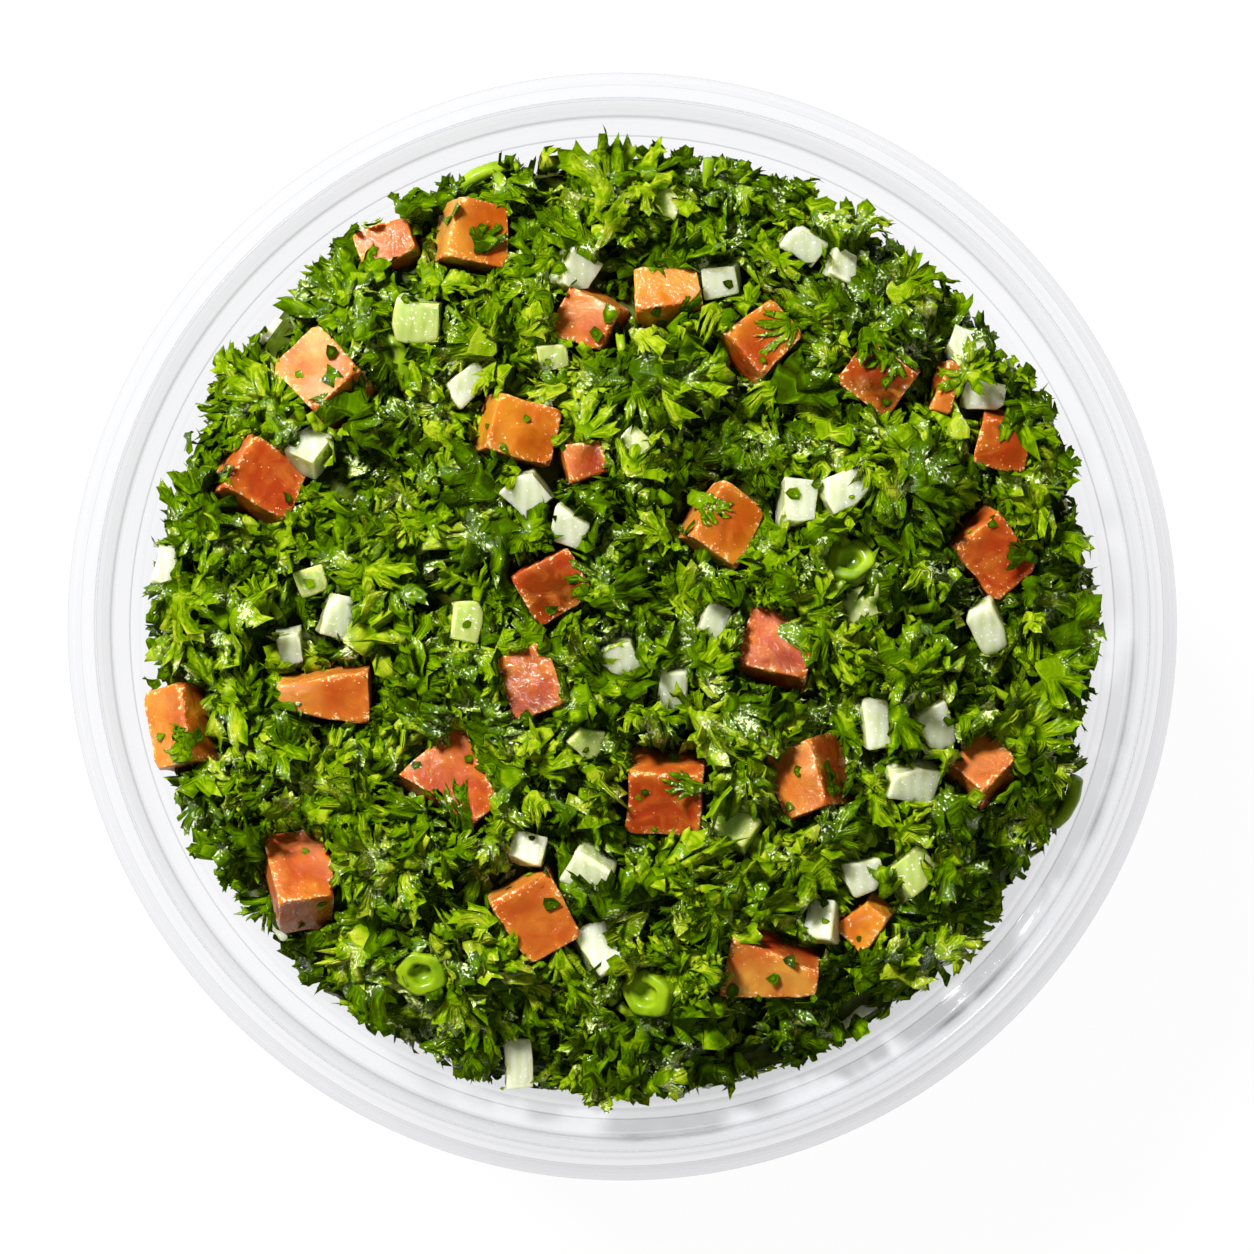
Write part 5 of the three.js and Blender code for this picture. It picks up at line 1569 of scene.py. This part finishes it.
# %% Rows of the leaves that stand out
STANDING_LEAVES = [
    # x and y of the root, lift, heading, rise, length in mm, lobes but one, fan in degrees, tint
    (-1.0, 43.4, 3.0, 122, 36, 7.4, 1, 80, 0.75), (9.4, 45.5, 1.4, 5, 10, 6.5, 4, 80, 0.4),
    (24.0, 42.0, 1.2, 20, 12, 4.8, 3, 60, 0.8), (14.5, 44.5, 1.2, 60, 10, 4.5, 3, 70, 0.5),
    (-10.5, 46.0, 1.2, 150, 10, 4.5, 3, 80, 0.5), (32.3, 36.1, 1.2, 25, 10, 4.5, 2, 40, 0.6),
    (44.8, 5.1, 1.2, 3, 10, 6.2, 3, 70, 0.6), (45.4, -0.5, 1.2, -18, 10, 5.6, 3, 60, 0.65),
    (45.8, 2.6, 1.6, -5, 10, 4.6, 3, 60, 0.7), (42.0, 22.0, 1.2, 30, 10, 5.2, 4, 90, 0.5),
    (44.0, -14.0, 1.2, -20, 10, 5.0, 4, 90, 0.45), (36.0, -30.0, 1.2, -40, 10, 5.5, 4, 100, 0.5),
    (-45.2, 2.5, 1.2, 180, 10, 4.8, 3, 80, 0.6), (-44.0, -12.0, 1.2, 200, 10, 5.0, 4, 90, 0.5),
    (-36.0, -29.0, 1.2, 220, 10, 5.0, 4, 90, 0.45), (-1.3, -45.8, 1.2, 270, 10, 5.2, 4, 80, 0.55),
    (-14.0, -44.0, 1.2, 255, 10, 4.6, 3, 70, 0.5), (12.0, -45.0, 1.2, 285, 10, 5.0, 3, 70, 0.6),
    (-40.0, 22.0, 1.2, 150, 10, 5.2, 4, 90, 0.5), (-30.0, 36.0, 1.2, 130, 10, 5.0, 4, 80, 0.6),
    (5.4, 29.7, 2.2, 25, 20, 6.0, 5, 110, 0.3), (2.5, -26.9, 3.0, 20, 18, 9.0, 5, 100, 0.8),
    (12.5, -25.2, 2.8, -10, 15, 7.5, 5, 110, 0.75), (-20.2, 7.8, 3.0, 25, 15, 9.0, 5, 90, 0.8),
    (-8.1, -3.3, 2.8, 0, 12, 7.5, 5, 100, 0.55), (-6.5, -4.3, 3.0, -35, 14, 8.0, 6, 120, 0.7),
    (-38.5, -17.4, 2.2, 190, 12, 6.0, 4, 100, 0.9), (-23.3, -29.0, 2.4, 100, 20, 6.0, 5, 140, 0.75),
    (17.0, -1.5, 2.6, -5, 12, 7.0, 5, 110, 0.6), (18.6, 30.5, 2.2, 200, 15, 5.5, 4, 90, 0.55),
    (27.6, 28.7, 2.2, 270, 12, 5.0, 4, 90, 0.4), (7.2, 13.0, 2.2, -40, 12, 5.0, 3, 60, 0.6),
    (-16.0, -22.1, 2.2, 115, 20, 7.0, 4, 60, 0.35), (-14.4, 38.0, 2.2, 80, 10, 4.2, 3, 110, 0.25),
    (8.2, -17.4, 2.2, 170, 10, 4.4, 4, 80, 0.45), (-1.0, 3.6, 2.2, 175, 10, 5.5, 4, 90, 0.4),
    (-0.5, 43.0, 3.2, 92, 40, 7.2, 0, 46, 0.45), (0.3, 43.2, 3.0, 54, 36, 7.8, 2, 100, 0.8),
]
print(len(STANDING_LEAVES), "leaves are placed by hand")

# %% Leaves that stand out
STEEP, STIFFNESS = 30, 0.3  # a leaf that rises more steeply is stiff: share of the curl that is left


def standing_leaf(row, seed):
    """One listed leaf, and the matrix that roots it on the heap or on a topping."""
    x, y, lift, heading, rise, length, lobes, fan, _ = row
    draw = random.Random(seed)
    shape = lobed_outline(draw, lobes + 1, math.radians(fan), -0.12, 0.95)
    curl = STIFFNESS if rise > STEEP else 1
    leaf = leaf_part(draw, shape, length, ruffle=draw.uniform(0.08, 0.14), fold=draw.uniform(-1.0, -0.3) * curl,
                     roll=draw.uniform(-0.8, -0.3) * curl, cup=draw.uniform(-0.8, 0.4) * curl,
                     crumple=draw.uniform(0.5, 0.8), levels=1)
    basis = rooted_frame(x, y, -lift, heading, rise)
    skin = skins.ray_cast(Vector((x, y, ABOVE_ALL / MM)) * MM, Vector((0, 0, -1)))[0]
    if skin is not None:
        basis[2][3] = max(basis[2][3], skin.z / MM + LAID_GAP)
    return leaf, basis


standing = [standing_leaf(row, 600 + i) for i, row in enumerate(STANDING_LEAVES)]
stood = cut_piece("parsley_standing_leaves", [leaf for leaf, _ in standing], [basis for _, basis in standing])
# Two leaves may have the same tint in the rows, so each gets a little more than the one before.
tints = [row[-1] + i * 1e-4 for i, (row, (leaf, _)) in enumerate(zip(STANDING_LEAVES, standing)) for _ in leaf[0]]
stood.data.attributes.new("tint", "FLOAT", "POINT").data.foreach_set("value", tints)
stood.data.materials.append(wet_parsley)
settled(stood, skins, 1.0, 0)
parsley.append(stood)

# %% [markdown]
# ## Stalk bits and flecks
# Chopping leaves short rods of stalk between the leaves and tiny flecks of leaf that stick to the
# wet faces of the dice. The same tree strews both: the rods on the dome, and the flecks on a copy
# of the toppings themselves.

# %% Stalk bits and flecks
stalks = strewn_layer(21, stalk_green, 0.1, (
    "stalk_bits_strewn", crown, stalk_bits, 0.02, 0.3, 1.4, -25, 25, 20, 0.8, 0.0, 1.8, 0.5, 0.0, 1.0, 0.0))
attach(stalks, "root")
fleck_ground = joined_shape("fleck_ground", tomatoes + onions + cucumbers)
flecks = strewn("parsley_flecks", fleck_ground, {
    "Pieces": crumbs, "Toppings": crown, "Material": wet_parsley, "Pieces per square metre": 0.05e6,
    "Lift low": 0.03 * MM, "Lift high": 0.12 * MM, "Rise low": -0.1, "Rise high": 0.1, "Roll": 0.1,
    "Clearance": 0.0, "Share kept over toppings": 1.0, "Seed": 22, "Tint low": 0.1, "Tint high": 0.9,
})
parsley.append(flecks)
print("parsley_flecks", triangles_in(flecks), "triangles")

# %% [markdown]
# ## Parsley against the wall
# Through the clear wall, chopped leaves show pressed flat on its inside. They are strewn almost
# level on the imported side, and whatever would pass through the wall is pressed back into it. The
# press is soft, so that a leaf keeps some of its form, and no leaf gets through the wall.

# %% Parsley against the wall
WALL_HEIGHTS, WALL_RADII = (0.0034, 0.0366), (0.0457, 0.0506)  # inside of the wall, in metres
PRESSED_IN, PRESS_REACH = 0.3, 0.6  # how far a leaf gets into the wall at most, and how softly, in mm
side = side_surface("side", radius_gain=0.35, low_share=0.03, high_share=0.96, rings=24, sides=120)
at_wall = strewn("parsley_at_wall", side, {
    "Pieces": scraps, "Toppings": toppings_shape, "Material": wet_parsley, "Pieces per square metre": 0.25e6,
    "Lift low": 0.0, "Lift high": 0.6 * MM, "Rise low": -0.15, "Rise high": 0.15, "Roll": 0.15,
    "Clearance": 0.2 * MM, "Share kept over toppings": 1.0, "Seed": 9,
})
spots = places_of(at_wall)
radius = np.hypot(spots[:, 0], spots[:, 1])
wall_inside = np.interp(spots[:, 2], WALL_HEIGHTS, WALL_RADII)
beyond = np.maximum(radius - wall_inside, 0)
pressed = wall_inside + PRESSED_IN * MM * np.tanh(beyond / (PRESS_REACH * MM))
spots[:, :2] *= (np.where(beyond > 0, pressed, radius) / radius)[:, None]
at_wall.data.vertices.foreach_set("co", spots.ravel())
parsley.append(at_wall)
print("parsley_at_wall", triangles_in(at_wall), "triangles")

# %% The parsley is done
for piece in parsley:
    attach(piece, "root")
    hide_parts("salad_heap")
print(sum(map(triangles_in, parsley)), "triangles of parsley in all")

# %% [markdown]
# ## Clearing the board
# The shapes that were only strewn or measured from aren't part of the salad, so they go.

# %% Remove the helpers
for collection in (scraps, small_leaves, fronds, tufts, shreds, crumbs, stalk_bits):
    for piece in list(collection.objects):
        bpy.data.objects.remove(piece)
    bpy.data.collections.remove(collection)
for piece in (toppings_shape, fleck_ground, dome, crown, inner_crown, brow, side):
    bpy.data.objects.remove(piece)

# %% [markdown]
# ## Light, floor and camera
# The salad stands on a pale floor in a soft studio light. One key light from the upper left does
# most of the work: it is small enough to leave dark gaps between the leaves and to put sharp
# sparks on wet edges. A wide weak one, high on the lower right, softens the shadows. The camera
# looks almost straight down through a long lens.

# %% Floor
FLOOR_HALF = 3000
floor_paint, tree, output = new_material("floor_white_sweep")
sweep = add_node(tree, "ShaderNodeBsdfPrincipled", {
    "Base Color": linear("#343434"), "Roughness": 0.9, "Specular IOR Level": 0.0,
    "Emission Color": linear("#ffffff"), "Emission Strength": 0.97})
tree.links.new(sweep.outputs[0], output.inputs["Surface"])
floor_corners = [(x * FLOOR_HALF, y * FLOOR_HALF, 0) for x, y in ((-1, -1), (1, -1), (1, 1), (-1, 1))]
floor = new_piece("floor", floor_corners, [(0, 1, 2, 3)], floor_paint)
floor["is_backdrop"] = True
print("floor is", 2 * FLOOR_HALF * MM, "m wide")

# %% Lights
RIM_HEIGHT = 43.9


def area_light(name, compass_degrees, elevation, distance, size, power):
    """A square soft light that looks at the salad."""
    lamp = bpy.data.lights.new(name, "AREA")
    lamp.size, lamp.energy = size, power
    light = bpy.data.objects.new(name, lamp)
    bpy.context.scene.collection.objects.link(light)
    bearing, rise = math.radians(compass_degrees), math.radians(elevation)
    direction = Vector((math.cos(bearing) * math.cos(rise), math.sin(bearing) * math.cos(rise), math.sin(rise)))
    light.location = direction * distance + Vector((0, 0, RIM_HEIGHT * MM))
    light.rotation_mode = "QUATERNION"
    light.rotation_quaternion = direction.to_track_quat("Z", "Y")
    return light


area_light("key", 132, 50, 1.6, 0.3, 60)
area_light("overhead", 318, 60, 2.2, 1.4, 8).visible_glossy = False
world = bpy.data.worlds.new("studio")
world.use_nodes = True
world.node_tree.nodes["Background"].inputs["Color"].default_value = linear("#fff9ee")
world.node_tree.nodes["Background"].inputs["Strength"].default_value = 0.1
world.cycles_visibility.glossy = False
bpy.context.scene.world = world
bpy.context.scene.view_settings.view_transform = "Standard"

# %% Camera
ELEVATION, DISTANCE = math.radians(87), 0.7
FOCAL_LENGTH = 191.6
AIM = Vector((0.5, -0.5, RIM_HEIGHT))
lens = bpy.data.cameras.new("camera")
lens.sensor_width, lens.lens = 36, FOCAL_LENGTH
lens.clip_start, lens.clip_end = 0.05, 20
camera = bpy.data.objects.new("camera", lens)
bpy.context.scene.collection.objects.link(camera)
back = Vector((0, -math.cos(ELEVATION), math.sin(ELEVATION)))
camera.location = AIM * MM + back * DISTANCE
camera.rotation_mode = "QUATERNION"
camera.rotation_quaternion = (-back).to_track_quat("-Z", "Y")
bpy.context.scene.camera = camera
print("camera", round(DISTANCE * 1000), "mm from the rim")

# %% Measure and finish
low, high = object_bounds()
print("visual size in mm", [round(s / MM, 1) for s in high - low])
